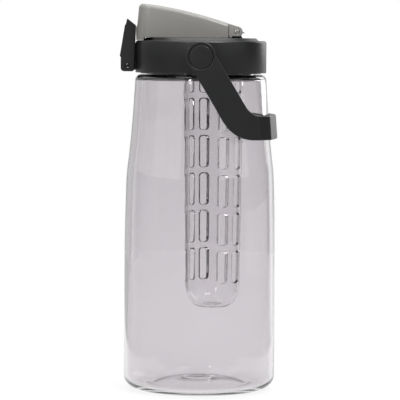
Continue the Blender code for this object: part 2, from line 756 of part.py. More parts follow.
def cap_block(name, inset, low_z, back_x, material=None):
    """The cap's wedge with a round nose and round upper edges, drawn in on every side by inset."""
    half = CAP_HALF_WIDTH - inset
    front_x = CAP_FRONT_X + inset
    nose = max(CAP_NOSE_ROUND - inset, CAP_EDGE_ROUND)
    corners = [(front_x, -half, nose), (back_x, -half, 0.0), (back_x, half, 0.0), (front_x, half, nose)]
    rise = (0.0, 0.0, CAP_TOP_Z - inset - low_z)
    mesh = slab([(x, y, low_z) for x, y in rounded(corners)], rise)
    rim = [e for e in mesh.edges if is_rim(e, back_x)]
    bmesh.ops.bevel(
        mesh,
        geom=rim,
        offset=max(CAP_EDGE_ROUND - inset, CAP_EDGE_ROUND / 3),
        offset_type="OFFSET",
        segments=2,
        profile=0.5,
        affect="EDGES",
        clamp_overlap=True,
        material=-1,
    )
    roof = roof_line(back_x)
    for x, _ in roof[1:-1]:
        geometry = list(mesh.verts) + list(mesh.edges) + list(mesh.faces)
        bmesh.ops.bisect_plane(mesh, geom=geometry, plane_co=(x, 0.0, 0.0), plane_no=(1.0, 0.0, 0.0))
    for vert in mesh.verts:
        if vert.co.z > (low_z + HINGE_Z) / 2:
            vert.co.z += np.interp(vert.co.x, [p[0] for p in roof], [p[1] for p in roof]) - CAP_TOP_Z
        vert.co.x += set_back(vert.co)
    return put(name, mesh, material)


def set_back(spot):
    """How far the cap's leaning front sets a point back, less and less towards the seam."""
    share = (CAP_SEAM_X - spot.x) / (CAP_SEAM_X - CAP_FRONT_X)
    return CAP_LEAN * (spot.z - CAP_Z) * max(share, 0.0)


def is_rim(edge, back_x):
    """Whether an edge lies between the block's flat top and its front or side."""
    if len(edge.link_faces) != 2:
        return False
    at_back = all(abs(v.co.x - back_x) < 1e-6 for v in edge.verts)
    ups = sorted(face.normal.z for face in edge.link_faces)
    return not at_back and abs(ups[0]) < 0.1 and ups[1] > 0.9


def make_cap_cover():
    """Outer shell of the flip cap, its nose hanging in front of the plate, with the latch's ledge."""
    nose_z = COLLAR_TOP_Z + NOSE_GAP
    cover = cap_block("cap_cover", 0.0, nose_z, CAP_SEAM_X, WARM_GREY)
    ledge_x = CAP_FRONT_X - LEDGE_REACH
    ledge_in_x = CAP_FRONT_X + CAP_WALL * 3 / 4
    low = CAP_Z + FIT_GAP
    ledge = [
        (ledge_in_x, low),
        (ledge_x, low),
        (ledge_x, CAP_Z + LEDGE_TOP),
        (ledge_in_x, CAP_Z + LEDGE_TOP + LEDGE_SLOPE),
    ]
    join(cover, plate_y("ledge_block", ledge, -LEDGE_HALF_WIDTH, LEDGE_HALF_WIDTH))
    far = 2 * CAP_HALF_WIDTH
    trim_low = (CAP_FRONT_X + CAP_NOSE_SKIRT, -far, nose_z - CAP_WALL)
    trim = box("nose_trim", trim_low, (CAP_SEAM_X + CAP_WALL, far, CAP_Z))
    cut(cover, cap_block("cover_hollow", CAP_WALL, nose_z - CAP_WALL, CAP_SEAM_X + CAP_WALL), trim)
    return cover


def make_cap_frame():
    """Inner liner of the flip cap with its hinge lugs and the web that holds the plug."""
    outside = CAP_WALL + FIT_GAP
    inside = outside + FRAME_WALL
    lug_front = CAP_SEAM_X + FIT_GAP
    frame = cap_block("cap_frame", outside, CAP_Z, lug_front + LUG_R / 4, WARM_GREY)
    cut(frame, cap_block("frame_hollow", inside, CAP_Z - CAP_WALL, lug_front + LUG_R / 2))
    lug_low = PLATE_Z + LUG_FOOT_GAP
    top = roof_line(HINGE_X)[-1][1]
    front_top = roof_line(lug_front)[-1][1]
    lug = [(lug_front, lug_low), (lug_front, front_top), (HINGE_X, top)]
    reach = HINGE_Z - lug_low
    start = math.pi / 2
    end = -math.asin(reach / LUG_R)
    lug += [
        (HINGE_X + LUG_R * math.cos(a), HINGE_Z + LUG_R * math.sin(a)) for a in np.linspace(start, end, 8)[1:]
    ]
    join(frame, plate_y("lug_block", lug, -CAP_HALF_WIDTH, CAP_HALF_WIDTH))
    lug_in = CAP_HALF_WIDTH - LUG_WIDTH
    web_z = web_low_z()
    half = CAP_HALF_WIDTH - outside - FIT_GAP
    web = box(
        "plug_web",
        (SPOUT_AXIS_X - WEB_HALF_LENGTH, -half, web_z),
        (SPOUT_AXIS_X + WEB_HALF_LENGTH, half, web_z + WEB_THICK),
    )
    join(frame, web)
    bridge_x = lug_front + BRIDGE_LENGTH
    far_x = HINGE_X + 2 * LUG_R
    bridge_z = front_top - BRIDGE_THICK
    gap_high = box("lug_gap_high", (bridge_x, -lug_in, CAP_Z - LUG_R), (far_x, lug_in, CAP_TOP_Z))
    gap_low = box("lug_gap_low", (lug_front - LUG_R, -lug_in, CAP_Z - LUG_R), (far_x, lug_in, bridge_z))
    bore = rod_y("lug_bore", HINGE_X, HINGE_Z, PIN_R + FIT_GAP, -2 * CAP_HALF_WIDTH, 2 * CAP_HALF_WIDTH)
    stem_hole = turned(
        "stem_hole",
        [
            (0.0, web_z + 2 * WEB_THICK),
            (PLUG_STEM_R + FIT_GAP, web_z + 2 * WEB_THICK),
            (PLUG_STEM_R + FIT_GAP, web_z - WEB_THICK),
            (0.0, web_z - WEB_THICK),
        ],
        SMALL_FACETS,
        at=(SPOUT_AXIS_X, 0.0, 0.0),
    )
    cut(frame, gap_high, gap_low, bore, stem_hole)
    return frame


def web_low_z():
    """Underside of the web, just above the plug's flange."""
    return SPOUT_TOP_Z + 2 * FIT_GAP + PLUG_FLANGE_THICK


def make_cap_plug():
    """Silicone stopper: tapered plug, sealing flange, stem and button above the web."""
    flange_z = SPOUT_TOP_Z + FIT_GAP
    flange_top = flange_z + PLUG_FLANGE_THICK
    button_z = web_low_z() + WEB_THICK + FIT_GAP
    plug_r = SPOUT_BORE_R - PLUG_GAP
    profile = [
        (0.0, button_z + PLUG_BUTTON_THICK),
        (PLUG_BUTTON_R - PLUG_TAPER, button_z + PLUG_BUTTON_THICK),
        (PLUG_BUTTON_R, button_z),
        (PLUG_STEM_R, button_z),
        (PLUG_STEM_R, flange_top),
        (PLUG_FLANGE_R, flange_top),
        (PLUG_FLANGE_R, flange_z),
        (plug_r, flange_z),
        (plug_r - PLUG_TAPER, SPOUT_TOP_Z - PLUG_DEPTH),
        (0.0, SPOUT_TOP_Z - PLUG_DEPTH),
    ]
    return turned("cap_plug", profile, RING_FACETS, SILICONE, at=(SPOUT_AXIS_X, 0.0, 0.0))


def make_hinge():
    """Pin through lugs and knuckles, and the torsion spring wound round it."""
    rod_y("hinge_pin", HINGE_X, HINGE_Z, PIN_R, -CAP_HALF_WIDTH, CAP_HALF_WIDTH, STEEL)
    centre = (HINGE_X, HINGE_Z)
    turns = HINGE_TURNS + 0.25
    curls = coil(centre, HINGE_COIL_R, HINGE_COIL_PITCH * HINGE_TURNS / turns, turns, 0.0)
    y_first = curls[0][1]
    y_last = curls[-1][1]
    tip = (HINGE_X + HINGE_COIL_R + HINGE_TIP, y_first, HINGE_Z - HINGE_WIRE_R)
    elbow = (HINGE_X + HINGE_COIL_R + 2 * HINGE_WIRE_R, y_first, HINGE_Z - HINGE_WIRE_R)
    leg = (HINGE_X - HINGE_LEG, y_last, HINGE_Z + HINGE_COIL_R)
    wire("hinge_spring", [tip, elbow] + curls + [leg], HINGE_WIRE_R, SPRING_STEEL)


def make_latch():
    """Lever with a ramp at its tip, a channel for the lugs and a thumb pad low at its front."""
    nose_x = CAP_FRONT_X - LEDGE_REACH - CATCH_GAP - LATCH_PIN_X
    low = -LATCH_FOOT_DROP
    corners = [
        (-LATCH_TIP_SETBACK, LATCH_TIP_RISE, 0.0),
        (nose_x, LATCH_TIP_RISE - LATCH_RAMP_DROP, 0.5 * MM),
        (LATCH_FOOT_BACK, low, LATCH_FOOT_ROUND / 2),
        (-LATCH_FRONT, low, LATCH_FOOT_ROUND),
        (-LATCH_FRONT, LATCH_PAD_RISE - LATCH_PAD, 0.0),
        (-LATCH_FRONT - LATCH_PAD, LATCH_PAD_RISE, 0.0),
        (-LATCH_NECK_SETBACK - LATCH_PAD, LATCH_TIP_RISE - LATCH_NECK_DROP - LATCH_PAD, 0.5 * MM),
        (-LATCH_NECK_SETBACK, LATCH_TIP_RISE - LATCH_NECK_DROP, 0.0),
    ]
    at = (LATCH_PIN_X, 0.0, LATCH_PIN_Z)
    outline = rounded(corners)
    latch = plate_y("latch", outline, -LATCH_HALF_WIDTH, LATCH_HALF_WIDTH, CHARCOAL, at)
    face_x = LATCH_PIN_X - LATCH_FRONT + LATCH_FACE
    roof = LATCH_PIN_Z + LATCH_TIP_RISE - LATCH_ROOF_DROP
    lean = LATCH_FRONT - LATCH_NECK_SETBACK
    channel = [
        (face_x, LATCH_PIN_Z - 2 * LATCH_FOOT_DROP),
        (-COLLAR_IN_R, LATCH_PIN_Z - 2 * LATCH_FOOT_DROP),
        (-COLLAR_IN_R, roof),
        (face_x + lean * (roof - LATCH_PIN_Z) / LATCH_TIP_RISE, roof),
        (face_x, LATCH_PIN_Z + LATCH_PAD_RISE),
    ]
    half = latch_channel()
    past = 2 * LATCH_HALF_WIDTH
    bore = rod_y("latch_bore", LATCH_PIN_X, LATCH_PIN_Z, LATCH_PIN_R + FIT_GAP, -past, past)
    cut(latch, plate_y("latch_channel", channel, -half, half), bore)
    pin_half = LATCH_HALF_WIDTH - LATCH_CHEEK / 3
    rod_y("latch_pin", LATCH_PIN_X, LATCH_PIN_Z, LATCH_PIN_R, -pin_half, pin_half, STEEL)
    return latch


def make_latch_spring():
    """Small torsion spring: one leg down behind the latch's face, the other up against the collar."""
    centre = (LATCH_PIN_X, LATCH_PIN_Z)
    turns = LATCH_TURNS + 0.125
    curls = coil(centre, LATCH_COIL_R, LATCH_COIL_PITCH * LATCH_TURNS / turns, -turns, 180.0)
    foot = (curls[0][0], curls[0][1], LATCH_PIN_Z - LATCH_SPRING_FOOT)
    run = -COLLAR_R - LATCH_WIRE_R - FIT_GAP - curls[-1][0]
    leg = (curls[-1][0] + run, curls[-1][1], curls[-1][2] + run)
    wire("latch_spring", [foot] + curls + [leg], LATCH_WIRE_R, SPRING_STEEL)


def handle_plan(offset_arm, offset_grip):
    """Half of the handle seen from above: arm, corner facet and bowed grip, round to the middle."""
    arm_y = handle_inner_y() + offset_arm
    grip_x = grip_inner_x() + offset_grip
    corner_x = grip_inner_x() + HANDLE_GRIP - HANDLE_BOW - HANDLE_FACET_RUN
    facet_y = handle_inner_y() + HANDLE_ARM - HANDLE_FACET_DROP
    start = (corner_x - (HANDLE_ARM - offset_arm) / 3, arm_y)
    facet = (grip_x - HANDLE_BOW, facet_y)
    return [start, facet] + bend(facet, (grip_x, facet_y * 0.45), (grip_x, 0.0), 4)


def grip_inner_x():
    """Inner face of the grip in the middle, just clear of the bottle."""
    return body_radius(HANDLE_GRIP_TOP_Z - HANDLE_GRIP_HEIGHT) + GRIP_GAP


def make_handle():
    """U-shaped strap: what its plan, pushed up along the lean of the grip, and its side outline share."""
    front_x = -2 * HANDLE_EYE_R
    outer = handle_plan(HANDLE_ARM, HANDLE_GRIP)
    inner = handle_plan(0.0, 0.0)
    half = [(front_x, outer[0][1])] + outer
    back = [(front_x, inner[0][1])] + inner
    loop = half + [(x, -y) for x, y in half[-2::-1]] + [(x, -y) for x, y in back] + back[-2::-1]
    low_z = HANDLE_GRIP_TOP_Z - HANDLE_GRIP_HEIGHT
    start_z = low_z - HANDLE_EYE_R
    rise = PIVOT_Z + 2 * HANDLE_EYE_R - start_z
    start = [(x + HANDLE_LEAN * HANDLE_EYE_R, y, start_z) for x, y in loop]
    handle = put("handle", slab(start, (-HANDLE_LEAN * rise, 0.0, rise)), CHARCOAL)
    slope = math.radians(HANDLE_HANG_DEG)
    along = Vector((math.cos(slope), math.sin(slope)))
    across = Vector((-along.y, along.x)) * (HANDLE_WIDTH / 2)
    pivot = Vector((0.0, PIVOT_Z))
    upper, lower = pivot + across, pivot - across
    end_x = outer[-1][0] + HANDLE_BOW
    bend_top = upper + along * ((HANDLE_GRIP_TOP_Z - upper.y) / along.y)
    bend_low = lower + along * ((low_z - lower.y) / along.y)
    side = rounded(
        [
            (upper.x, upper.y, 0.0),
            (bend_top.x, bend_top.y, HANDLE_TOP_BEND),
            (end_x, HANDLE_GRIP_TOP_Z, 0.0),
            (end_x, low_z, 0.0),
            (bend_low.x, bend_low.y, HANDLE_LOW_BEND),
            (lower.x, lower.y, 0.0),
        ]
    )
    far = 2 * handle_inner_y()
    outline = plate_y("handle_outline", side, -far, far)
    eye = rod_y("handle_eye", 0.0, PIVOT_Z, HANDLE_EYE_R, -far, far, facets=RING_FACETS)
    join(outline, eye)
    boolean(handle, outline, "INTERSECT")
    outer_y = handle_inner_y() + HANDLE_ARM
    seat_y = outer_y - STUD_HEAD_THICK - FIT_GAP
    cut(handle, rod_y("stud_hole", 0.0, PIVOT_Z, STUD_R + FIT_GAP, -far, far))
    seat_r = STUD_HEAD_R + FIT_GAP
    for side_sign, name in ((-1, "near"), (1, "far")):
        ends = sorted((side_sign * seat_y, side_sign * far))
        cut(handle, rod_y(f"stud_seat_{name}", 0.0, PIVOT_Z, seat_r, *ends, facets=RING_FACETS))
    return handle


def make_studs():
    """Pivot studs with round heads, and the washers behind the arms."""
    outer_y = handle_inner_y() + HANDLE_ARM
    head_y = outer_y - STUD_HEAD_THICK
    washer_y = boss_face_y() + FIT_GAP
    tail_y = COLLAR_IN_R + FIT_GAP
    for side, name in ((-1, "near"), (1, "far")):
        profile = [
            (0.0, outer_y),
            (STUD_HEAD_R - FIT_GAP, outer_y),
            (STUD_HEAD_R, outer_y - FIT_GAP),
            (STUD_HEAD_R, head_y),
            (STUD_R, head_y),
            (STUD_R, tail_y),
            (0.0, tail_y),
        ]
        pivot = (0.0, 0.0, PIVOT_Z)
        stud = turned(f"handle_stud_{name}", profile, RING_FACETS, CHARCOAL, at=pivot)
        stud.rotation_euler = (-side * math.pi / 2, 0.0, 0.0)
        washer = ring_profile(STUD_R + FIT_GAP, WASHER_R, washer_y, washer_y + WASHER_THICK)
        washer_name = f"handle_washer_{name}"
        ring = turned(washer_name, washer, RING_FACETS, SILICONE, closed=True, at=pivot)
        ring.rotation_euler = (-side * math.pi / 2, 0.0, 0.0)


def infuser_radius(z):
    """Outer radius of the tube at a height, from its top down to where the dome starts."""
    share = (INFUSER_TOP_Z - z) / (INFUSER_LENGTH - INFUSER_DOME)
    return INFUSER_R + (INFUSER_END_R - INFUSER_R) * share


def slot_cutters():
    """All slots as one cutter: narrow inside, wide outside, with cut corners."""
    mesh = bmesh.new()
    half_h = SLOT_HEIGHT / 2
    c = SLOT_CHAMFER
    for row in range(SLOT_ROWS):
        middle = INFUSER_Z + SLOT_FIRST_RISE + half_h + row * SLOT_PITCH
        out_r = infuser_radius(middle)
        slope = (SLOT_WIDTH - SLOT_INNER_WIDTH) / (2 * INFUSER_WALL)
        for column in range(2 * SLOT_COLUMNS):
            group, place = divmod(column, SLOT_COLUMNS)
            azimuth = math.radians(SLOT_FIRST_DEG + 180.0 * group + SLOT_STEP_DEG * place)
            loops = []
            for radius in (out_r - 2 * INFUSER_WALL, out_r + INFUSER_WALL):
                half_w = SLOT_WIDTH / 2 + slope * (radius - out_r)
                cc = min(c, 0.8 * half_w)
                shape = [
                    (half_w, half_h - c),
                    (half_w - cc, half_h),
                    (-half_w + cc, half_h),
                    (-half_w, half_h - c),
                    (-half_w, -half_h + c),
                    (-half_w + cc, -half_h),
                    (half_w - cc, -half_h),
                    (half_w, -half_h + c),
                ]
                turn = Matrix.Rotation(azimuth, 3, "Z")
                made = outline_face(mesh, [turn @ Vector((w, -radius, middle + h)) for w, h in shape])
                loops += [item for item in made if isinstance(item, bmesh.types.BMEdge)]
            bmesh.ops.bridge_loops(mesh, edges=loops)
    bmesh.ops.recalc_face_normals(mesh, faces=mesh.faces)
    return put("slot_cutters", mesh, None, (INFUSER_X, 0.0, 0.0))


def make_infuser():
    """Tapered tube, open at its top, with a groove for its ring, slots and a domed end with drains."""
    dome_z = INFUSER_Z + INFUSER_DOME
    top_in = INFUSER_R - INFUSER_WALL
    end_in = INFUSER_END_R - INFUSER_WALL
    dome_reach = INFUSER_END_R - INFUSER_FLAT_R
    inner_reach = end_in - INFUSER_FLAT_R
    groove = INFUSER_TOP_Z - O_RING_DROP
    groove_half = o_ring_wire_r() + RING_GAP
    outer = [
        (INFUSER_R, INFUSER_TOP_Z),
        (INFUSER_R, groove + groove_half),
        (INFUSER_R - O_RING_SINK, groove + groove_half),
        (INFUSER_R - O_RING_SINK, groove - groove_half),
        (INFUSER_R, groove - groove_half),
    ]
    outer += quarter((INFUSER_FLAT_R, dome_z), dome_reach, INFUSER_DOME, 0.0, 5)
    inner = quarter((INFUSER_FLAT_R, dome_z), inner_reach, INFUSER_DOME - INFUSER_WALL, 0.0, 4)
    bottom = [(0.0, INFUSER_Z)]
    floor = [(0.0, INFUSER_Z + INFUSER_WALL)]
    profile = floor + inner[::-1] + [(top_in, INFUSER_TOP_Z)] + outer + bottom
    tube = turned("infuser_tube", profile, TUBE_FACETS, CLEAR, at=(INFUSER_X, 0.0, 0.0))
    drains = bmesh.new()
    spots = [(0.0, 0.0)]
    for k in range(DRAIN_COUNT):
        a = 2 * math.pi * k / DRAIN_COUNT
        spots.append((DRAIN_RING_R * math.cos(a), DRAIN_RING_R * math.sin(a)))
    for x, y in spots:
        place = Matrix.Translation((x, y, INFUSER_Z))
        bmesh.ops.create_cone(
            drains,
            cap_ends=True,
            segments=DRAIN_FACETS,
            radius1=DRAIN_R,
            radius2=DRAIN_R,
            depth=4 * INFUSER_WALL,
            matrix=place,
        )
    cut(tube, slot_cutters(), put("drain_cutters", drains, None, (INFUSER_X, 0.0, 0.0)))
    return tube


make_bottle()
make_lid_base()
make_lid_collar()
make_seals()
make_spout()
make_cap_cover()
make_cap_frame()
make_cap_plug()
make_hinge()
make_latch()
make_latch_spring()
make_handle()
make_studs()
make_infuser()
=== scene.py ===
# %% [markdown]
# # A clear infuser pitcher, piece by piece
#
# The pitcher is a clear moulded bottle of about two litres with a dark screw lid. On the lid sit a
# grey flip cap, a latch that holds it shut, and a U-shaped strap to carry it by. A slotted tube for
# fruit or tea hangs from the lid inside the bottle.
#
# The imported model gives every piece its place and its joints, but only a plain shape. It could be
# shown as it is, with colours on it. Instead each cell below makes one piece anew in its finished
# form and lets it ride on the body that it belongs to, so that the joints still move it.

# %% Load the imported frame
import math

import bmesh
import bpy
import numpy as np
from mathutils import Matrix, Vector


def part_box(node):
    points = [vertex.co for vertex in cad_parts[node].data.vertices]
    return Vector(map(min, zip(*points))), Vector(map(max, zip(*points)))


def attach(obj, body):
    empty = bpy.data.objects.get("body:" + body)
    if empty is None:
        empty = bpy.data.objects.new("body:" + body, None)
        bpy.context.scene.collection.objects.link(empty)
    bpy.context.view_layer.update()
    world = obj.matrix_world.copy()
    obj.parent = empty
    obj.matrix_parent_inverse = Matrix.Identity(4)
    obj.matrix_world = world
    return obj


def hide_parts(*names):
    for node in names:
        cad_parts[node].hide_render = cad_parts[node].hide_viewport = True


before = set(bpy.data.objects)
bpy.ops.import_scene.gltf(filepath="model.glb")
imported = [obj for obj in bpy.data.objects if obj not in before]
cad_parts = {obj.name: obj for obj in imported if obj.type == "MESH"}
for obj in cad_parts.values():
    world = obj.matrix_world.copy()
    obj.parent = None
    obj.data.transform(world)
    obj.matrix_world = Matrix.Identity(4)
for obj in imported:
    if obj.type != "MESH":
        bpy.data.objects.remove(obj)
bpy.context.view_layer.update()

MM = 0.001

# %% [markdown]
# ## Shaping tools
#
# Most pieces here are moulded round an axis, so a profile is drawn and spun. Flat pieces are drawn
# as an outline and pushed to their thickness. Both could start from a stock cylinder or cube, but a
# drawn outline holds the real sizes. Real moulds round every corner a little, and a corner is
# rounded best where it is drawn, because a bevel on a finished solid can run out of room.


# %% Rounded outlines
def rounded(corners, closed=True, step_deg=9.0):
    """Corners (a, b, radius) in mm as an outline in metres, each radius turned into an arc."""
    points = []
    count = len(corners)
    for k, (a, b, radius) in enumerate(corners):
        here = Vector((a, b))
        if radius <= 0.0 or (not closed and k in (0, count - 1)):
            points.append(here)
            continue
        back = (Vector(corners[k - 1][:2]) - here).normalized()
        ahead = (Vector(corners[(k + 1) % count][:2]) - here).normalized()
        half = back.angle(ahead) / 2
        centre = here + (back + ahead).normalized() * (radius / math.sin(half))
        start = here + back * (radius / math.tan(half)) - centre
        sweep = start.angle_signed(here + ahead * (radius / math.tan(half)) - centre)
        steps = max(2, round(math.degrees(abs(sweep)) / step_deg))
        for step in range(steps + 1):
            points.append(centre + Matrix.Rotation(-sweep * step / steps, 2) @ start)
    return [(p[0] * MM, p[1] * MM) for p in points]


def pulled(first, pull, last, steps):
    """A soft curve from first towards pull and on to last, without its first point."""
    made = []
    marks = (first, pull, last)
    for step in range(1, steps + 1):
        t = step / steps
        weights = ((1 - t) ** 2, 2 * t * (1 - t), t**2)
        made.append(tuple(sum(w * p[i] for w, p in zip(weights, marks)) for i in (0, 1)))
    return made


def quarter(centre, reach, rise, from_deg, steps):
    """A quarter of an ellipse, turning clockwise, both ends included."""
    made = []
    for step in range(steps + 1):
        a = math.radians(from_deg - 90.0 * step / steps)
        made.append((centre[0] + reach * math.cos(a), centre[1] + rise * math.sin(a)))
    return made


def scaled(points):
    """Points (a, b) in millimetres as points in metres."""
    return [(a * MM, b * MM) for a, b in points]


print("a 2 mm corner becomes", len(rounded([(0, 0, 2), (9, 0, 0), (9, 9, 0)])) - 2, "points")

# %% [markdown]
# A spun profile closes on itself, so the last ring of points has to melt into the first: spin does
# that with use_merge, and the points on the axis are merged after it.

# %% Spun solids
SAME_SPOT = 0.5e-6


def spun(points, steps, closed=True, at=(0.0, 0.0, 0.0), turn=Matrix()):
    """A profile of (radius, height) points spun once round, then turned and set in place."""
    mesh = bmesh.new()
    verts = [mesh.verts.new((radius, 0.0, height)) for radius, height in points]
    edges = [mesh.edges.new(pair) for pair in zip(verts, verts[1:])]
    if closed:
        edges.append(mesh.edges.new((verts[-1], verts[0])))
    bmesh.ops.spin(
        mesh,
        geom=verts + edges,
        cent=(0.0, 0.0, 0.0),
        axis=(0.0, 0.0, 1.0),
        angle=2 * math.pi,
        steps=steps,
        use_merge=True,
    )
    bmesh.ops.remove_doubles(mesh, verts=mesh.verts, dist=SAME_SPOT)
    bmesh.ops.recalc_face_normals(mesh, faces=mesh.faces)
    bmesh.ops.transform(mesh, matrix=Matrix.Translation(at) @ turn, verts=mesh.verts)
    return mesh


print("points nearer than", SAME_SPOT / MM, "mm are merged")

# %% [markdown]
# A plate starts as one flat face on its outline. An extrusion that keeps the first face gives the
# plate its thickness as a closed solid, along Y for what is seen from the side and along Z for what
# is seen from above.


# %% Plates
def flat_face(mesh, points):
    """A flat face on a closed outline, with its edges and corners."""
    verts = [mesh.verts.new(point) for point in points]
    edges = [mesh.edges.new(pair) for pair in zip(verts, verts[1:] + verts[:1])]
    return verts + edges + bmesh.ops.edgeloop_fill(mesh, edges=edges)["faces"]


def slab(points, run):
    """A flat outline pushed to its thickness."""
    mesh = bmesh.new()
    flat_face(mesh, points)
    grown = bmesh.ops.extrude_face_region(mesh, geom=list(mesh.faces), use_keep_orig=True)["geom"]
    moved = [v for v in grown if isinstance(v, bmesh.types.BMVert)]
    bmesh.ops.translate(mesh, vec=run, verts=moved)
    bmesh.ops.recalc_face_normals(mesh, faces=mesh.faces)
    return mesh


def slab_y(outline, y_from, y_to, at=(0.0, 0.0)):
    """An outline of (x, z) points as a plate between two places along Y, in millimetres."""
    points = [(x + at[0] * MM, y_from * MM, z + at[1] * MM) for x, z in outline]
    return slab(points, (0.0, (y_to - y_from) * MM, 0.0))


def slab_z(outline, z_from, z_to):
    """An outline of (x, y) points as a plate between two heights, in millimetres."""
    points = [(x, y, z_from * MM) for x, y in outline]
    return slab(points, (0.0, 0.0, (z_to - z_from) * MM))


print("a plate on a square has", len(slab_z([(0, 0), (MM, 0), (MM, MM), (0, MM)], 0, 1).faces), "faces")

# %% [markdown]
# Blocks and rods are the plain stock: pads, pins, and the tools that cut bores and pockets. The bevel
# rounds only the edges that it is given, so each piece picks its own.


# %% Blocks, rods and soft edges
def block(low, high, round_off=0.0):
    """A box between two corners in millimetres, with rounded edges."""
    mesh = bmesh.new()
    bmesh.ops.create_cube(mesh, size=1.0)
    low, high = Vector(low) * MM, Vector(high) * MM
    size = Matrix.Diagonal((*(high - low), 1.0))
    bmesh.ops.transform(mesh, matrix=Matrix.Translation((low + high) / 2) @ size, verts=mesh.verts)
    if round_off:
        soften(mesh, mesh.edges, round_off)
    return mesh


def rod_y(x, z, radius, y_from, y_to, round_off=0.0, steps=64):
    """A round bar along Y, in millimetres."""
    half = (y_to - y_from) / 2
    corners = [(0.0, half, 0.0), (radius, half, round_off)]
    corners += [(radius, -half, round_off), (0.0, -half, 0.0)]
    turn = Matrix.Rotation(math.pi / 2, 4, "X")
    centre = (x * MM, (y_from + y_to) / 2 * MM, z * MM)
    return spun(rounded(corners, closed=False), steps, closed=False, at=centre, turn=turn)


def soften(mesh, edges, width, segments=3, clamp=True):
    """Rounds edges by a width in millimetres. clamp stops where neighbours would cross."""
    bmesh.ops.bevel(
        mesh,
        geom=list(edges),
        offset=width * MM,
        offset_type="OFFSET",
        segments=segments,
        profile=0.5,
        affect="EDGES",
        clamp_overlap=clamp,
        material=-1,
    )


print("a softened block has", len(block((0, 0, 0), (9, 9, 9), 1.0).faces), "faces")

# %% [markdown]
# Holes, lugs and pockets are cut and joined with the exact Boolean. They could be modelled into one
# mesh face by face, but a drilled hole in a curved wall is far simpler as a cut. A Boolean leaves
# slivers along its seams, and a bevel stops at the first of them. So doubles and flat seams are
# dissolved first, and then only the outer edges are rounded.

# %% Joined and cut solids
SHARP_DEG = 38.0


def linked(name, data):
    """A new object round this mesh, curve, lamp or camera, linked into the scene."""
    made = bpy.data.objects.new(name, data)
    bpy.context.scene.collection.objects.link(made)
    return made


def joined(mesh, steps, crisp=None, clamp=True):
    """Adds or cuts shapes: steps are (operation, shape). crisp rounds what is sharp after that."""
    main = linked("work", bpy.data.meshes.new("work"))
    mesh.to_mesh(main.data)
    mesh.free()
    extra = [main]
    for operation, shape in steps:
        tool = linked("tool", bpy.data.meshes.new("tool"))
        shape.to_mesh(tool.data)
        shape.free()
        modifier = main.modifiers.new("shape", "BOOLEAN")
        modifier.operation = operation
        modifier.solver = "EXACT"
        modifier.object = tool
        extra.append(tool)
    done = main.evaluated_get(bpy.context.evaluated_depsgraph_get())
    made = bmesh.new()
    made.from_mesh(done.to_mesh())
    done.to_mesh_clear()
    for old in extra:
        data = old.data
        bpy.data.objects.remove(old)
        bpy.data.meshes.remove(data)
    if crisp:
        bmesh.ops.remove_doubles(made, verts=made.verts, dist=0.02 * MM)
        bmesh.ops.dissolve_limit(made, angle_limit=0.01, verts=made.verts, edges=made.edges)
        bmesh.ops.recalc_face_normals(made, faces=made.faces)
        sharp = math.radians(SHARP_DEG)
        outer = [e for e in made.edges if e.is_convex and e.calc_face_angle(0.0) > sharp]
        soften(made, outer, crisp, clamp=clamp)
    return made


print("edges over", SHARP_DEG, "degrees are rounded")


# %% [markdown]
# Every piece ends the same way: doubles are merged, the narrow faces along its convex edges are
# marked for wear, and it is put on its body in place of the plain solid. The wear could be found in
# the shader from the curvature, but a mark on the faces stays with the mesh itself. Flat faces that
# run into a rounded edge can look dented, so the strap and the latch get their normals weighted by
# the size of each face.

# %% Finishing a piece
NARROW, CORNER_DEG = 0.45, 9.0


def mark_edges(mesh):
    """Marks narrow faces that stand on an outer corner, where handling polishes a surface."""
    layer = mesh.faces.layers.float.new("rubbed")
    marked = 0
    for face in mesh.faces:
        around = sum(e.calc_length() for e in face.edges)
        narrow = 2 * face.calc_area() / around < NARROW * MM
        angles = sorted(e.calc_face_angle_signed(0.0) for e in face.edges)
        if narrow and angles[-1] > math.radians(CORNER_DEG):
            face[layer] = 1.0
            marked += 1
    return marked


def place(name, mesh, look, body, node, crisp_deg=32.0, even=False):
    """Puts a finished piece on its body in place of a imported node. even weights its normals."""
    bmesh.ops.remove_doubles(mesh, verts=mesh.verts, dist=SAME_SPOT)
    bmesh.ops.recalc_face_normals(mesh, faces=mesh.faces)
    marked = mark_edges(mesh)
    data = bpy.data.meshes.new(name)
    mesh.to_mesh(data)
    mesh.free()
    data.shade_smooth()
    data.set_sharp_from_angle(angle=math.radians(crisp_deg))
    data.materials.append(look)
    piece = linked(name, data)
    if even:
        piece.modifiers.new("even", "WEIGHTED_NORMAL").keep_sharp = True
        weighted = piece.evaluated_get(bpy.context.evaluated_depsgraph_get())
        piece.data = bpy.data.meshes.new_from_object(weighted)
        piece.modifiers.clear()
        bpy.data.meshes.remove(data)
        data = piece.data
    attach(piece, body)
    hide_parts(node)
    low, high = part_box(node)
    new_low = [min(v.co[i] for v in data.vertices) for i in range(3)]
    new_high = [max(v.co[i] for v in data.vertices) for i in range(3)]
    past = max(max(low[i] - new_low[i], new_high[i] - high[i]) for i in range(3)) / MM
    print(f"{name}: {len(data.polygons)} faces, {marked} at edges, {past:+.2f} mm past its solid")


print("faces narrower than", NARROW, "mm at an outer corner are marked")


# %% [markdown]
# ## Surfaces
#
# Shader maths is written as plain sums. A small class wraps a node's output so that +, - and *
# make the Math nodes. They could be added and linked one by one, but a sum is easier to read and to
# change.


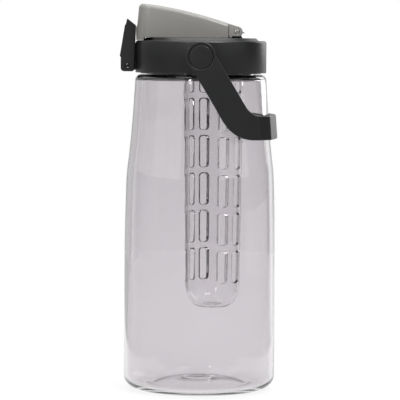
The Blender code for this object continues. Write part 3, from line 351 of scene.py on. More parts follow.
# %% Shader sums
class Value:
    """One output of a shader node that takes part in sums."""

    def __init__(self, look, output):
        self.look = look
        self.output = output

    def sum(self, operation, *others):
        return self.look.maths(operation, self, *others)

    def __add__(self, other):
        return self.look.maths("ADD", self, other)

    def __sub__(self, other):
        return self.look.maths("SUBTRACT", self, other)

    def __mul__(self, other):
        return self.look.maths("MULTIPLY", self, other)

    def __rsub__(self, other):
        return self.look.maths("SUBTRACT", other, self)

    __radd__ = __add__
    __rmul__ = __mul__

    def clamped(self):
        made = self.look.maths("ADD", self, 0.0)
        made.output.node.use_clamp = True
        return made


# %% [markdown]
# A Look holds a material while it is made. Every node but the sums comes from one method, which
# takes its kind, its settings and its inputs. The others name what a finish needs: a spot on the
# object, a stretched pattern, a noise, a blend of two colours and a bump. All of it could be set up
# by hand in the editor, but here two finishes can share one recipe.


# %% Looks
class Look:
    """A material under construction."""

    def __init__(self, name):
        self.material = bpy.data.materials.new(name)
        self.material.use_nodes = True
        self.tree = self.material.node_tree
        self.shader = self.tree.nodes["Principled BSDF"]

    def node(self, kind, settings, **inputs):
        made = self.tree.nodes.new(kind)
        for name, value in settings.items():
            setattr(made, name, value)
        for name, value in inputs.items():
            self.feed(made.inputs[name.replace("_", " ")], value)
        return made

    def feed(self, socket, value):
        if isinstance(value, Value):
            self.tree.links.new(value.output, socket)
        else:
            socket.default_value = value

    def maths(self, operation, *terms):
        made = self.node("ShaderNodeMath", {"operation": operation})
        for socket, term in zip(made.inputs, terms):
            self.feed(socket, term)
        return Value(self, made.outputs[0])

    def spot(self):
        """Where a point lies on the object."""
        return Value(self, self.node("ShaderNodeTexCoord", {}).outputs["Object"])

    def stretched(self, where, scale):
        """A spot multiplied along X, Y and Z: a small factor draws a pattern out."""
        made = self.node("ShaderNodeVectorMath", {"operation": "MULTIPLY"})
        self.feed(made.inputs[0], where)
        made.inputs[1].default_value = scale
        return Value(self, made.outputs[0])

    def noise(self, where, scale, detail=3.0, rough=0.5):
        made = self.node(
            "ShaderNodeTexNoise", {}, Vector=where, Scale=scale, Detail=detail, Roughness=rough
        )
        return Value(self, made.outputs["Fac"])

    def attribute(self, name):
        made = self.node("ShaderNodeAttribute", {"attribute_name": name})
        return Value(self, made.outputs["Fac"])

    def blend(self, share, first, second):
        """A colour between two, by share. Sockets 6, 7 and 2 are Mix's colour ones."""
        made = self.node("ShaderNodeMix", {"data_type": "RGBA"})
        self.feed(made.inputs[0], share)
        for socket, colour in zip((made.inputs[6], made.inputs[7]), (first, second)):
            self.feed(socket, colour if isinstance(colour, Value) else (*colour, 1.0))
        return Value(self, made.outputs[2])

    def bump(self, height, distance):
        made = self.node("ShaderNodeBump", {}, Height=height, Distance=distance, Strength=1.0)
        return Value(self, made.outputs["Normal"])

    def set(self, **inputs):
        """Feeds the shader's own sockets, with _ for a blank in their names."""
        for name, value in inputs.items():
            self.feed(self.shader.inputs[name.replace("_", " ")], value)


# %% [markdown]
# The dark and the grey pieces are moulded in a satin plastic: a fine spark-eroded grain, slight
# differences in shade from the melt's flow, and edges that are a little paler and smoother from
# handling. One roughness for all would look like a plain computer picture. Three noises of very
# different size give the flow, the smears and the grain without any picture file.

# %% Satin plastic
PLASTIC_IOR, GRAIN = 1.5, 0.012


def satin_plastic(name, shade, roughness):
    look = Look(name)
    where = look.spot()
    flow = look.noise(look.stretched(where, (1.0, 1.0, 0.35)), scale=26.0, detail=4.0)
    speck = look.noise(where, scale=2400.0, detail=2.0)
    smear = look.noise(where, scale=60.0, detail=5.0, rough=0.6)
    rubbed = (look.attribute("rubbed") * (smear * 2.4 - 0.6)).clamped()
    dark = tuple(c * 0.93 for c in shade)
    light = tuple(c * 1.07 for c in shade)
    worn = tuple(c * 1.25 + 0.004 for c in shade)
    colour = look.blend(flow, dark, light)
    look.set(
        Base_Color=look.blend(rubbed * 0.6, colour, worn),
        Roughness=roughness + (smear - 0.5) * 0.10 + (speck - 0.5) * 0.05 - rubbed * 0.06,
        Normal=look.bump(speck, GRAIN * MM),
        IOR=PLASTIC_IOR,
    )
    return look.material


CHARCOAL = satin_plastic("charcoal_satin", (0.0082, 0.0085, 0.0092), 0.38)
GREY = satin_plastic("warm_grey_satin", (0.255, 0.250, 0.235), 0.31)
print("nodes in the satin plastic:", len(CHARCOAL.node_tree.nodes))

# %% [markdown]
# The bottle and the infuser are polished clear copolyester. Its body colour is a faint cool grey
# that shows as the light passes two or four walls. It could be a thin surface with some alpha, but
# then nothing would bend behind it, so it is a real wall with full transmission. Washing leaves
# hair-fine scuffs, and the wall is never quite even, so the surface waves very slightly.


# %% Clear plastic
def clear_plastic(name, tint, wave):
    look = Look(name)
    where = look.spot()
    uneven = look.noise(look.stretched(where, (1.0, 1.0, 0.25)), scale=22.0, detail=1.0)
    scuff = look.noise(look.stretched(where, (1.0, 1.0, 3.0)), scale=420.0, detail=4.0, rough=0.7)
    mark = ((scuff - 0.66) * 6.0).clamped()
    look.set(
        Base_Color=look.blend(uneven, tint, tuple(min(1.0, c * 1.015) for c in tint)),
        Roughness=0.012 + mark * 0.05,
        Normal=look.bump(uneven, wave * MM),
        IOR=PLASTIC_IOR,
        Transmission_Weight=1.0,
    )
    return look.material


CLEAR = clear_plastic("clear_bottle_plastic", (0.790, 0.769, 0.789), 0.25)
CLEAR_TUBE = clear_plastic("clear_infuser_plastic", (0.972, 0.968, 0.970), 0.05)
print("nodes in the clear plastic:", len(CLEAR.node_tree.nodes))

# %% [markdown]
# The seals are milky silicone with a dusty bloom, and a little light soaks into them. The cap's pin
# is drawn steel with fine lines along it, and the springs are dark oiled spring wire. The latch's
# pin is the same steel in near-black: that dark is painted shade, the shadow of the hole its end
# sits in. All three are one recipe: a noise drawn out along the wire makes the lines, and that
# costs less than modelling them.


# %% Silicone and steel
def silicone(name):
    look = Look(name)
    where = look.spot()
    bloom = look.noise(where, scale=180.0, detail=5.0, rough=0.65)
    look.set(
        Base_Color=look.blend(bloom, (0.60, 0.60, 0.58), (0.72, 0.72, 0.70)),
        Roughness=0.50 + bloom * 0.2,
        Normal=look.bump(bloom, 0.02 * MM),
        Subsurface_Weight=0.15,
        Subsurface_Radius=(1.0, 1.0, 1.0),
        Subsurface_Scale=1.0 * MM,
    )
    return look.material


def metal(name, shade, roughness):
    look = Look(name)
    where = look.spot()
    drawn = look.noise(look.stretched(where, (1.0, 0.06, 1.0)), scale=3200.0, detail=2.0)
    stain = look.noise(where, scale=90.0)
    look.set(
        Base_Color=look.blend(stain, tuple(c * 0.85 for c in shade), shade),
        Roughness=roughness + (drawn - 0.5) * 0.16 + (stain - 0.5) * 0.08,
        Normal=look.bump(drawn, 0.004 * MM),
        Metallic=1.0,
    )
    return look.material


SILICONE = silicone("milky_silicone")
STEEL = metal("drawn_steel", (0.62, 0.61, 0.59), 0.34)
# Painted shade: this near-black steel is for the latch pin, and its dark colour stands in for the
# shadow in the hole where the pin's end sits.
HOLE_SHADE_STEEL = metal("steel_painted_as_hole_shade", (0.045, 0.045, 0.050), 0.45)
SPRING_WIRE = metal("oiled_spring_wire", (0.10, 0.10, 0.10), 0.34)

# %% [markdown]
# ## The bottle
#
# A stretch-blown shell: a straight barrel, a soft kink above it where the taper starts, a rounded
# shoulder and a threaded neck that the lid hides. The base is pushed up in the middle so that the
# bottle stands on a ring, and the blowing rod and gate leave small circles at its centre. A single
# skin with Solidify would be quicker, but light bends in the wall, so the inner side is drawn too:
# it is the outer side moved inwards, with a smaller corner at the foot.

# %% Side of the bottle
BARREL_R, SHOULDER_R, NECK_R, WALL = 55.0, 47.6, 39.5, 2.6
CORNER_REACH, CORNER_RISE, BARREL_TOP = 13.2, 10.5, 42.0
KINK_SOFT, SHOULDER_REACH = 6.0, 3.9


def bottle_side(inset, foot):
    """The side from the neck's foot down to the base, moved inwards by inset."""
    edge = (SHOULDER_R - inset, 223.7)
    kink = (53.3 - inset, 158.3)
    taper_pull = (49.7 - inset, 185.9)
    barrel_pull = (BARREL_R - inset, 116.8)
    top = 228.5 - inset
    toward_top = Vector(taper_pull) - Vector(kink)
    toward_foot = Vector(barrel_pull) - Vector(kink)
    above = tuple(Vector(kink) + toward_top.normalized() * KINK_SOFT)
    below = tuple(Vector(kink) + toward_foot.normalized() * KINK_SOFT)
    neck = NECK_R - (WALL if inset else 0.0)
    side = [(neck, top)]
    bend = (edge[0] - SHOULDER_REACH, edge[1])
    side += quarter(bend, SHOULDER_REACH, top - edge[1], 90.0, 10)
    side += pulled(edge, taper_pull, above, 16)
    side += pulled(above, kink, below, 6)
    side += pulled(below, barrel_pull, (BARREL_R - inset, BARREL_TOP), 16)
    corner = (BARREL_R - CORNER_REACH, CORNER_RISE)
    side += quarter(corner, CORNER_REACH - inset, CORNER_RISE - foot, 0.0, 16)[1:]
    return side


print("points down the outer side:", len(bottle_side(0.0, 0.0)))

# %% [markdown]
# The neck and the lid share one screw: a right-hand ridge with sloping flanks, 5 mm a turn, for a
# turn and a quarter. Screw threads are made by a Screw modifier or by spin with a climb, and spin
# keeps both ends as plain faces that can be closed. The larger a ring, the more steps it takes to
# look round, so the bottle and its thread get the most.

# %% Screw ridge
BIG_ROUND = 160
THREAD_DEPTH, THREAD_TURNS, THREAD_PITCH, THREAD_SINK = 1.5, 1.25, 5.0, 0.6


def helix(wall_r, depth, start_z):
    """One screw ridge with tapered flanks, sunk a little into its wall."""
    mesh = bmesh.new()
    sunk = wall_r - math.copysign(THREAD_SINK, depth)
    crest = wall_r + depth
    section = [(sunk, -1.3), (crest, -0.5), (crest, 0.5), (sunk, 1.3)]
    start = flat_face(mesh, [(radius * MM, 0.0, (start_z + rise) * MM) for radius, rise in section])
    count = round(BIG_ROUND * THREAD_TURNS)
    bmesh.ops.spin(
        mesh,
        geom=start,
        cent=(0.0, 0.0, 0.0),
        axis=(0.0, 0.0, 1.0),
        dvec=(0.0, 0.0, THREAD_TURNS * THREAD_PITCH * MM / count),
        angle=2 * THREAD_TURNS * math.pi,
        steps=count,
    )
    bmesh.ops.holes_fill(mesh, edges=mesh.edges)
    bmesh.ops.recalc_face_normals(mesh, faces=mesh.faces)
    return mesh


print("thread rises", THREAD_TURNS * THREAD_PITCH, "mm")

# %% [markdown]
# The base is drawn point by point: the ring, the slow rise to the middle, and the small steps that
# the rod and the gate leave. They are only tenths of a millimetre high, and they show as light rings.

# %% Bottle shell
MOUTH_R, RIM_Z, RIM_ROUND = NECK_R - 2.5, 245.6, 0.7
rim = [(MOUTH_R, 243.0, 0.0), (MOUTH_R, RIM_Z, RIM_ROUND), (NECK_R, RIM_Z, RIM_ROUND)]
rim = rounded(rim + [(NECK_R, 243.0, 0.0)], closed=False)
underside = [(41.8, 0.0), (40.0, 0.0), (38.3, 0.0), (36.8, 0.15)]
underside += pulled((36.8, 0.15), (22.1, 5.0), (11.2, 5.0), 12)
underside += [(10.6, 4.7), (10.0, 4.6), (9.4, 4.7), (8.8, 5.0), (4.6, 5.0), (4.2, 4.6), (3.6, 4.4)]
underside += [(3.0, 4.5), (2.4, 4.9), (0.0, 5.0)]
inner_floor = pulled((41.8, 3.2), (22.1, 8.2), (11.2, 8.2), 12)
inner_floor += [(10.2, 8.45), (9.4, 8.2), (4.0, 8.2), (3.0, 8.5), (2.0, 8.6), (0.0, 8.6)]
profile = scaled(inner_floor[::-1] + bottle_side(WALL, 3.2)[::-1]) + rim
profile += scaled(bottle_side(0.0, 0.0)[:-1] + underside)
shell = spun(profile, BIG_ROUND, closed=False)
shell = joined(shell, [("UNION", helix(NECK_R, THREAD_DEPTH, 234.0))])
place("bottle_shell", shell, CLEAR, "bottle", "bottle_body")

# %% [markdown]
# ## The infuser
#
# A slightly tapered tube that is moulded in one with its domed end. The slots are wide outside and
# narrow inside, as the sliding cores of a mould leave them, and the dome has a ring of small drains.
# The cores of one side slide together, so the slots next to the first one lean to its direction.
# An Array of one cut slot would be shorter, but the tube tapers and the columns differ, so each
# slot's core is bridged from four rounded outlines, and all of them are cut at once.

# %% Slots
TUBE_X, TUBE_R, TUBE_NARROWS, TUBE_WALL = 9.3, 22.2, 2.3, 1.8
TUBE_TOP, TUBE_LOW, DOME = 250.7, 59.9, 16.1
TUBE_AT = (TUBE_X * MM, 0.0, 0.0)
SLOT_ROWS, ROW_PITCH, FIRST_MIDDLE, SLOT_PAST = 6, 27.4, TUBE_LOW + 18.25 + 11.5, 0.6
# Each column of slots: its direction round the tube and its lean, in degrees
COLUMNS = ((20.0, 0.0), (56.0, 36.0), (92.0, 45.0), (200.0, 30.0), (236.0, 45.0), (272.0, 45.0))
# Each outline of a core: its depth from the tube's outside, width, height and corner
CORE = ((-4.0, 2.7, 21.8, 1.2), (-1.8, 5.4, 22.4, 2.0), (-0.55, 8.6, 22.8, 2.4))
CORE += ((SLOT_PAST, 11.8, 24.8, 3.2),)


def tube_radius(z):
    return TUBE_R - TUBE_NARROWS * (TUBE_TOP - z) / (TUBE_TOP - TUBE_LOW - DOME)


def slot_shape(width, height, corner):
    """A slot's outline as (across, up) points, corners rounded."""
    a, b = width / 2, height / 2
    corner = min(corner, 0.92 * a)
    corners = [(a, b, corner), (-a, b, corner), (-a, -b, corner), (a, -b, corner)]
    return rounded(corners, step_deg=18.0)


def slots():
    """All slots as one cutter, each leaning to its core's direction."""
    mesh = bmesh.new()
    for row in range(SLOT_ROWS):
        middle = FIRST_MIDDLE + row * ROW_PITCH
        out_r = tube_radius(middle)
        for azimuth, lean in COLUMNS:
            turn = Matrix.Translation(TUBE_AT) @ Matrix.Rotation(math.radians(azimuth), 4, "Z")
            loops = []
            for depth, width, height, corner in CORE:
                shift = -(depth + SLOT_PAST) * math.tan(math.radians(lean)) * MM
                points = [
                    turn @ Vector((a + shift, -(out_r + depth) * MM, middle * MM + b))
                    for a, b in slot_shape(width, height, corner)
                ]
                verts = [mesh.verts.new(p) for p in points]
                loops.append([mesh.edges.new(pair) for pair in zip(verts, verts[1:] + verts[:1])])
            for low, high in zip(loops, loops[1:]):
                bmesh.ops.bridge_loops(mesh, edges=low + high)
            for end in (loops[0], loops[-1]):
                bmesh.ops.edgeloop_fill(mesh, edges=end)
    bmesh.ops.recalc_face_normals(mesh, faces=mesh.faces)
    return mesh


print("slots:", SLOT_ROWS * len(COLUMNS))

# %% [markdown]
# The tube is spun like the bottle, with a groove near its top and a dome at its foot. Its drains are
# cones, a little wider below, one in the middle and six round it.

# %% Infuser tube
MID_ROUND = 128
DOME_FLAT_R, DRAIN_RING_R, GROOVE = 8.4, 5.6, 1.0
outer = [(20.6, TUBE_TOP, 0.0), (TUBE_R, TUBE_TOP, 0.5), (TUBE_R, 246.5, 0.0)]
outer = rounded(outer, closed=False)
outer += scaled([(TUBE_R, 246.28), (TUBE_R - GROOVE, 246.28)])
outer += scaled([(TUBE_R - GROOVE, 245.12), (TUBE_R, 245.12)])
side_z = np.linspace(244.0, TUBE_LOW + DOME, 25)
outer += scaled([(tube_radius(z), z) for z in side_z])
dome_centre = (DOME_FLAT_R, TUBE_LOW + DOME)
outer += scaled(quarter(dome_centre, 11.5, DOME, 0.0, 20)[1:] + [(0.0, TUBE_LOW)])
inner = quarter(dome_centre, 9.7, DOME - TUBE_WALL, 0.0, 18)
inner = scaled([(0.0, TUBE_LOW + TUBE_WALL)] + inner[::-1] + [(20.4, 250.4)])
tube = spun(inner + outer, MID_ROUND, closed=False, at=TUBE_AT)
drains = bmesh.new()
for k in range(7):
    a = math.radians(60.0 * k)
    ring = DRAIN_RING_R if k else 0.0
    spot = (TUBE_X + ring * math.cos(a), ring * math.sin(a), TUBE_LOW)
    bmesh.ops.create_cone(
        drains,
        cap_ends=True,
        segments=20,
        radius1=1.5 * MM,
        radius2=0.9 * MM,
        depth=7.0 * MM,
        matrix=Matrix.Translation(Vector(spot) * MM),
    )
tube = joined(tube, [("DIFFERENCE", slots()), ("DIFFERENCE", drains)])
place("infuser_basket", tube, CLEAR_TUBE, "infuser", "infuser_tube", 20.0)

# %% [markdown]
# A silicone ring sits in the groove near the tube's top and holds it in its socket. A torus would
# do, but a small spun circle takes its size from the groove and the socket.

# %% Infuser ring
SMALL_ROUND = 96
SOCKET_R, RING_GAP = 22.5, 0.15
ring_r = (TUBE_R - GROOVE + SOCKET_R) / 2
ring_wire = (SOCKET_R - TUBE_R + GROOVE) / 2 - RING_GAP
circle = [
    ((ring_r + ring_wire * math.cos(a)) * MM, (245.7 + ring_wire * math.sin(a)) * MM)
    for a in np.linspace(0.0, 2 * math.pi, 13)[:-1]
]
ring = spun(circle, SMALL_ROUND, at=TUBE_AT)
place("infuser_ring", ring, SILICONE, "infuser", "infuser_seal")

# %% [markdown]
# ## The lid
#
# The inner lid is one moulding: a raised round plate, a threaded skirt, the infuser's socket, a
# recessed hole for the spout, and two knuckles on a low pad for the cap's hinge. Whatever is round
# about the bottle's axis is one spun profile, and the rest is joined to it or cut out of it.

# %% Inner lid
PLATE_R, PLATE_Z, PLATE_SLANT = 42.05, 254.7, 2.2
SKIRT_R, SKIRT_IN = 43.75, 41.35
HINGE_X, HINGE_Z, KNUCKLE_R, PIN_BORE = 25.7, 259.2, 3.4, 1.8
SPOUT_X = -25.6
SPOUT_AT = (SPOUT_X * MM, 0.0, 0.0)


def along_y(edge):
    """Whether both ends of an edge lie at the same place along Y."""
    return abs(edge.verts[0].co.y - edge.verts[1].co.y) < 1e-7


profile = rounded(
    [
        (0.0, PLATE_Z, 0.0),
        (PLATE_R - PLATE_SLANT, PLATE_Z, 0.6),
        (PLATE_R, PLATE_Z - PLATE_SLANT, 0.5),
        (PLATE_R, 250.3, 0.0),
        (SKIRT_R, 250.3, 0.0),
        (SKIRT_R, 229.0, 0.5),
        (SKIRT_IN, 229.0, 0.3),
        (SKIRT_IN, 248.0, 0.3),
        (36.3, 248.0, 0.3),
        (36.3, 251.2, 0.3),
        (0.0, 251.2, 0.0),
    ],
    closed=False,
)
disc = spun(profile, BIG_ROUND, closed=False)
socket = [(SOCKET_R, 252.0, 0.0), (24.1, 252.0, 0.0), (24.1, 241.0, 0.4), (SOCKET_R, 241.0, 0.4)]
hole = [(0.0, 256.0), (12.0, 256.0), (12.0, 253.2), (9.3, 253.2), (9.3, 249.0), (0.0, 249.0)]
pad_x, pad_y = HINGE_X + 4.0, 12.15
pad = block((pad_x - 14.7, -pad_y, 254.1), (pad_x, pad_y, 255.6), 0.35)
steps = [
    ("UNION", helix(SKIRT_IN, -THREAD_DEPTH, 231.5)),
    ("UNION", spun(rounded(socket), SMALL_ROUND, at=TUBE_AT)),
    ("UNION", pad),
]
for side in (-1, 1):
    web = [(HINGE_X - KNUCKLE_R, 254.1), (HINGE_X + KNUCKLE_R, 254.1)]
    for a in np.linspace(0.0, math.pi, 19):
        web.append((HINGE_X + KNUCKLE_R * math.cos(a), HINGE_Z + KNUCKLE_R * math.sin(a)))
    knuckle = slab_y(scaled(web), *sorted((side * 5.15, side * pad_y)))
    soften(knuckle, filter(along_y, knuckle.edges), 0.3)
    steps.append(("UNION", knuckle))
steps.append(("DIFFERENCE", rod_y(HINGE_X, HINGE_Z, PIN_BORE, -21.0, 21.0)))
steps.append(("DIFFERENCE", spun(scaled(hole), SMALL_ROUND, closed=False, at=SPOUT_AT)))
disc = joined(disc, steps)
place("lid_disc", disc, CHARCOAL, "lid", "lid_base")

# %% [markdown]
# The outer ring snaps over the inner lid. It carries the round bosses of the handle on both sides
# and two small lugs for the latch in front. Its upper edge has a soft radius that catches the light.
# The ring has more steps than the rest, because its satin side shows every flat in a long highlight.

# %% Outer ring
RING_R, RING_TOP_ROUND, LUG_R = 47.35, 1.8, 2.9
PIVOT_Z, PIVOT_BORE, INNER_Y, ARM = 241.2, 4.3, 50.99, 4.5
LATCH_X, LATCH_Z, LATCH_BORE = -53.25, 234.4, 1.4
profile = [(42.35, 252.8)]
profile += quarter((RING_R - RING_TOP_ROUND, 251.0), RING_TOP_ROUND, RING_TOP_ROUND, 90.0, 10)
profile += [(RING_R, 230.1), (47.2, 229.75), (46.85, 229.6), (44.35, 229.6), (44.05, 229.9)]
profile += [(44.05, 250.6), (42.35, 250.6)]
ring = spun(scaled(profile), 192)
steps = []
for side in (-1, 1):
    ends = sorted((side * 45.7, side * (INNER_Y - 1.2)))
    boss = rod_y(0.0, PIVOT_Z, 9.2, *ends, round_off=0.5, steps=SMALL_ROUND)
    lug = [(-45.7, LATCH_Z - LUG_R), (-45.7, 251.0), (-50.55, 251.0), (-50.55, LATCH_Z + 5.8)]
    for a in np.linspace(0.0, math.pi, 19):
        lug.append((LATCH_X - LUG_R * math.sin(a), LATCH_Z + LUG_R * math.cos(a)))
    lug = slab_y(scaled(lug), *sorted((side * 3.05, side * 5.45)))
    steps += [("UNION", boss), ("UNION", lug)]
for side in (-1, 1):
    ends = sorted((side * 20.0, side * 60.0))
    steps.append(("DIFFERENCE", rod_y(0.0, PIVOT_Z, PIVOT_BORE, *ends)))
steps.append(("DIFFERENCE", rod_y(LATCH_X, LATCH_Z, LATCH_BORE, -9.0, 9.0)))
ring = joined(ring, steps)
place("lid_ring", ring, CHARCOAL, "lid", "lid_collar")

# %% [markdown]
# Between the lid and the neck lies a flat silicone seal. The spout is a short tube with a flange and
# a drip lip, set on a gasket in its recess. The cap hides all of them at rest, but they show when it
# opens, and each is one small spun profile.

# %% Seal, spout and gasket
seal = rounded([(37.0, 247.7, 0.4), (41.0, 247.7, 0.4), (41.0, 245.9, 0.4), (37.0, 245.9, 0.4)])
place("neck_gasket", spun(seal, 144), SILICONE, "seal", "lid_seal")
gasket = rounded([(9.3, 254.3, 0.2), (11.1, 254.3, 0.2), (11.1, 253.5, 0.2), (9.3, 253.5, 0.2)])
gasket = spun(gasket, SMALL_ROUND, at=SPOUT_AT)
place("spout_gasket", gasket, SILICONE, "lid", "spout_seal")
profile = rounded(
    [
        (6.6, 266.9, 0.3),
        (8.4, 266.9, 0.5),
        (8.7, 265.9, 0.3),
        (8.1, 264.9, 0.3),
        (8.1, 257.8, 0.8),
        (9.0, 256.2, 0.4),
        (11.7, 256.2, 0.3),
        (11.7, 254.6, 0.3),
        (9.0, 254.6, 0.2),
        (9.0, 249.6, 0.4),
        (6.6, 249.6, 0.4),
    ]
)
place("spout_tube", spun(profile, SMALL_ROUND, at=SPOUT_AT), CHARCOAL, "lid", "pour_spout")

# %% [markdown]
# ## The flip cap
#
# The cap is a wedge: tall over the spout, with a soft round nose, and falling in one slow curve to
# the hinge. Its outer cover is an even shell over an inner liner, and the liner ends in the two
# hinge lugs. The joint between cover and lugs shows as a fine line. The front leans back a little,
# and the nose hangs down in front of the plate, nearly to the outer ring. A cage under a Subdivision
# Surface could give such a form, but its edges would drift from the sizes. So a straight block is
# rounded first, cut into stations, and then let down to the roof's line and leaned back.

# %% Cap block
FRONT_X, CAP_Z, CAP_TOP, SEAM_X, CAP_HALF = -46.6, 254.9, 279.3, 19.4, 21.0
LUG_ROUND, NOSE_ROUND, STATIONS = 4.0, 9.0, 30
FRONT_FALL, BACK_FALL, LEAN_BACK = 0.085, 0.34, 0.082


def roof(xs):
    """Heights of the cap's top line at some places along X."""
    front = (FRONT_X, CAP_TOP)
    back = (HINGE_X, HINGE_Z + LUG_ROUND)
    pull_x = back[1] + BACK_FALL * back[0] - front[1] - FRONT_FALL * front[0]
    pull_x /= BACK_FALL - FRONT_FALL
    pull = (pull_x, front[1] - FRONT_FALL * (pull_x - front[0]))
    line = np.array([front] + pulled(front, pull, back, 60))
    return np.interp(xs, line[:, 0], line[:, 1])


def cap_block(inset, low_z, back_x, edge_round):
    """The wedge with a round nose and round upper edges, drawn in on every side by inset."""
    half = CAP_HALF - inset
    front_x = FRONT_X + inset
    nose = max(NOSE_ROUND - inset, edge_round)
    corners = [(front_x, -half, nose), (back_x, -half, 0.0)]
    corners += [(back_x, half, 0.0), (front_x, half, nose)]
    mesh = slab_z(rounded(corners, step_deg=4.5), low_z, CAP_TOP - inset)
    rim_edges = []
    for edge in mesh.edges:
        at_back = all(abs(v.co.x - back_x * MM) < 1e-6 for v in edge.verts)
        ups = sorted(face.normal.z for face in edge.link_faces)
        if not at_back and len(ups) == 2 and abs(ups[0]) < 0.1 and ups[1] > 0.9:
            rim_edges.append(edge)
    soften(mesh, rim_edges, edge_round, 7)
    for x in np.linspace(front_x, back_x, STATIONS + 1)[1:-1]:
        everything = list(mesh.verts) + list(mesh.edges) + list(mesh.faces)
        spot, across = (x * MM, 0.0, 0.0), (1.0, 0.0, 0.0)
        bmesh.ops.bisect_plane(mesh, geom=everything, plane_co=spot, plane_no=across)
    for vert in mesh.verts:
        if vert.co.z > (low_z + HINGE_Z) / 2 * MM:
            vert.co.z += (roof(vert.co.x / MM) - CAP_TOP) * MM
        share = (SEAM_X * MM - vert.co.x) / ((SEAM_X - FRONT_X) * MM)
        vert.co.x += LEAN_BACK * (vert.co.z - CAP_Z * MM) * max(share, 0.0)
    return mesh


print("the cap falls from", CAP_TOP, "to", round(float(roof(SEAM_X)), 1), "mm at the seam")

# %% [markdown]
# The cover is the block less a smaller block, so its wall has the same thickness all over. A small
# ledge on its nose is what the latch holds on to.

# %% Cap cover
NOSE_Z, LEDGE_STEP = 253.05, 0.25
ledge_back, ledge_front = FRONT_X + 1.5, FRONT_X - LEDGE_STEP
ledge = [(ledge_back, 255.2), (ledge_front, 255.2), (ledge_front, 262.1), (ledge_back, 265.7)]
ledge = slab_y(scaled(ledge), -8.0, 8.0)
soften(ledge, ledge.edges, 0.3)
cover = joined(
    cap_block(0.0, NOSE_Z, SEAM_X, 3.1),
    [
        ("UNION", ledge),
        ("DIFFERENCE", cap_block(2.0, NOSE_Z - 2.0, SEAM_X + 2.0, 1.2)),
        ("DIFFERENCE", block((FRONT_X + 5.6, -42.0, NOSE_Z - 2.0), (SEAM_X + 2.0, 42.0, CAP_Z))),
    ],
    crisp=0.15,
)
place("cap_shell", cover, GREY, "flip_cap", "cap_cover", 28.0)

# %% [markdown]
# The liner is made the same way, a gap smaller. The lugs are one bar across the back, rounded about
# the pin, with the room for the knuckles cut out of its middle. A web over the spout holds the
# stopper.

# %% Cap liner with its lugs
LUG_X, KNUCKLE_ROOM = 19.7, 13.8
liner = cap_block(2.3, CAP_Z, LUG_X + 1.0, 1.0)
lug_top, top_z = float(roof(LUG_X)), float(roof(HINGE_X))
lug = rounded([(LUG_X, 256.0, 0.4), (LUG_X, lug_top, 0.3), (HINGE_X, top_z, 0.0)], closed=False)
for a in np.linspace(math.pi / 2, -math.asin(0.8), 22)[1:]:
    lug += scaled([(HINGE_X + LUG_ROUND * math.cos(a), HINGE_Z + LUG_ROUND * math.sin(a))])
lug_bar = slab_y(lug, -CAP_HALF, CAP_HALF)
soften(lug_bar, filter(along_y, lug_bar.edges), 0.45)
web = block((SPOUT_X - 11.5, -18.4, 269.5), (SPOUT_X + 11.5, 18.4, 270.9))
stem = scaled([(0.0, 272.3), (3.3, 272.3), (3.3, 268.1), (0.0, 268.1)])
room_end = (40.0, KNUCKLE_ROOM)
liner = joined(
    liner,
    [
        ("DIFFERENCE", cap_block(3.8, CAP_Z - 2.0, LUG_X + 2.0, 0.9)),
        ("UNION", lug_bar),
        ("UNION", web),
        ("DIFFERENCE", block((LUG_X + 1.7, -KNUCKLE_ROOM, 251.0), (*room_end, 290.0))),
        ("DIFFERENCE", block((LUG_X - 4.0, -KNUCKLE_ROOM, 251.0), (*room_end, lug_top - 2.2))),
        ("DIFFERENCE", rod_y(HINGE_X, HINGE_Z, PIN_BORE, -40.0, 40.0)),
        ("DIFFERENCE", spun(stem, 48, closed=False, at=SPOUT_AT)),
    ],
)
place("cap_liner", liner, GREY, "flip_cap", "cap_frame")

# %% [markdown]
# The stopper is a soft plug: a button that snaps through the web, and a cone that closes the spout.
# Soft parts are turned or moulded round, so it is one spun profile again.

# %% Stopper
profile = rounded(
    [
        (0.0, 272.2, 0.0),
        (3.7, 272.2, 0.3),
        (4.2, 271.2, 0.2),
        (3.0, 271.2, 0.0),
        (3.0, 269.2, 0.0),
        (8.6, 269.2, 0.5),
        (8.6, 267.2, 0.5),
        (6.1, 267.2, 0.3),
        (5.6, 264.4, 0.6),
        (0.0, 264.4, 0.0),
    ],
    closed=False,
)
stopper = spun(profile, SMALL_ROUND, closed=False, at=SPOUT_AT)
place("cap_stopper", stopper, SILICONE, "flip_cap", "cap_plug")

# %% [markdown]
# A steel pin goes through lugs and knuckles, and a torsion spring is wound round it. One leg lies
# under the cap, and the other end sticks out behind as a dark tip. A Screw modifier makes curls but
# no legs, so the wire's whole path is written down and a curve gives it its thickness.

# %% Hinge pin and spring
CURL_STEPS = 28
place("cap_pin", rod_y(HINGE_X, HINGE_Z, 1.5, -CAP_HALF, CAP_HALF, 0.35), STEEL, "lid", "hinge_pin")


def curls(centre, radius, pitch, turns, start_deg):
    """Points of a coil round Y, CURL_STEPS to a turn."""
    count = round(abs(turns) * CURL_STEPS)
    length = abs(turns) * pitch
    points = []
    for k in range(count + 1):
        a = math.radians(start_deg) + 2 * math.pi * turns * k / count
        y = -length / 2 + length * k / count
        points.append((centre[0] + radius * math.cos(a), y, centre[1] + radius * math.sin(a)))
    return points


def wire(points, thickness):
    """A round wire through the points, as a closed mesh."""
    curve = bpy.data.curves.new("wire", "CURVE")
    curve.dimensions = "3D"
    curve.bevel_depth = thickness * MM
    curve.bevel_resolution = 4
    curve.use_fill_caps = True
    line = curve.splines.new("POLY")
    line.points.add(len(points) - 1)
    for point, spot in zip(line.points, points):
        point.co = (*(Vector(spot) * MM), 1.0)
    holder = linked("wire", curve)
    done = holder.evaluated_get(bpy.context.evaluated_depsgraph_get())
    mesh = bmesh.new()
    mesh.from_mesh(done.to_mesh())
    done.to_mesh_clear()
    bpy.data.objects.remove(holder)
    bpy.data.curves.remove(curve)
    return mesh


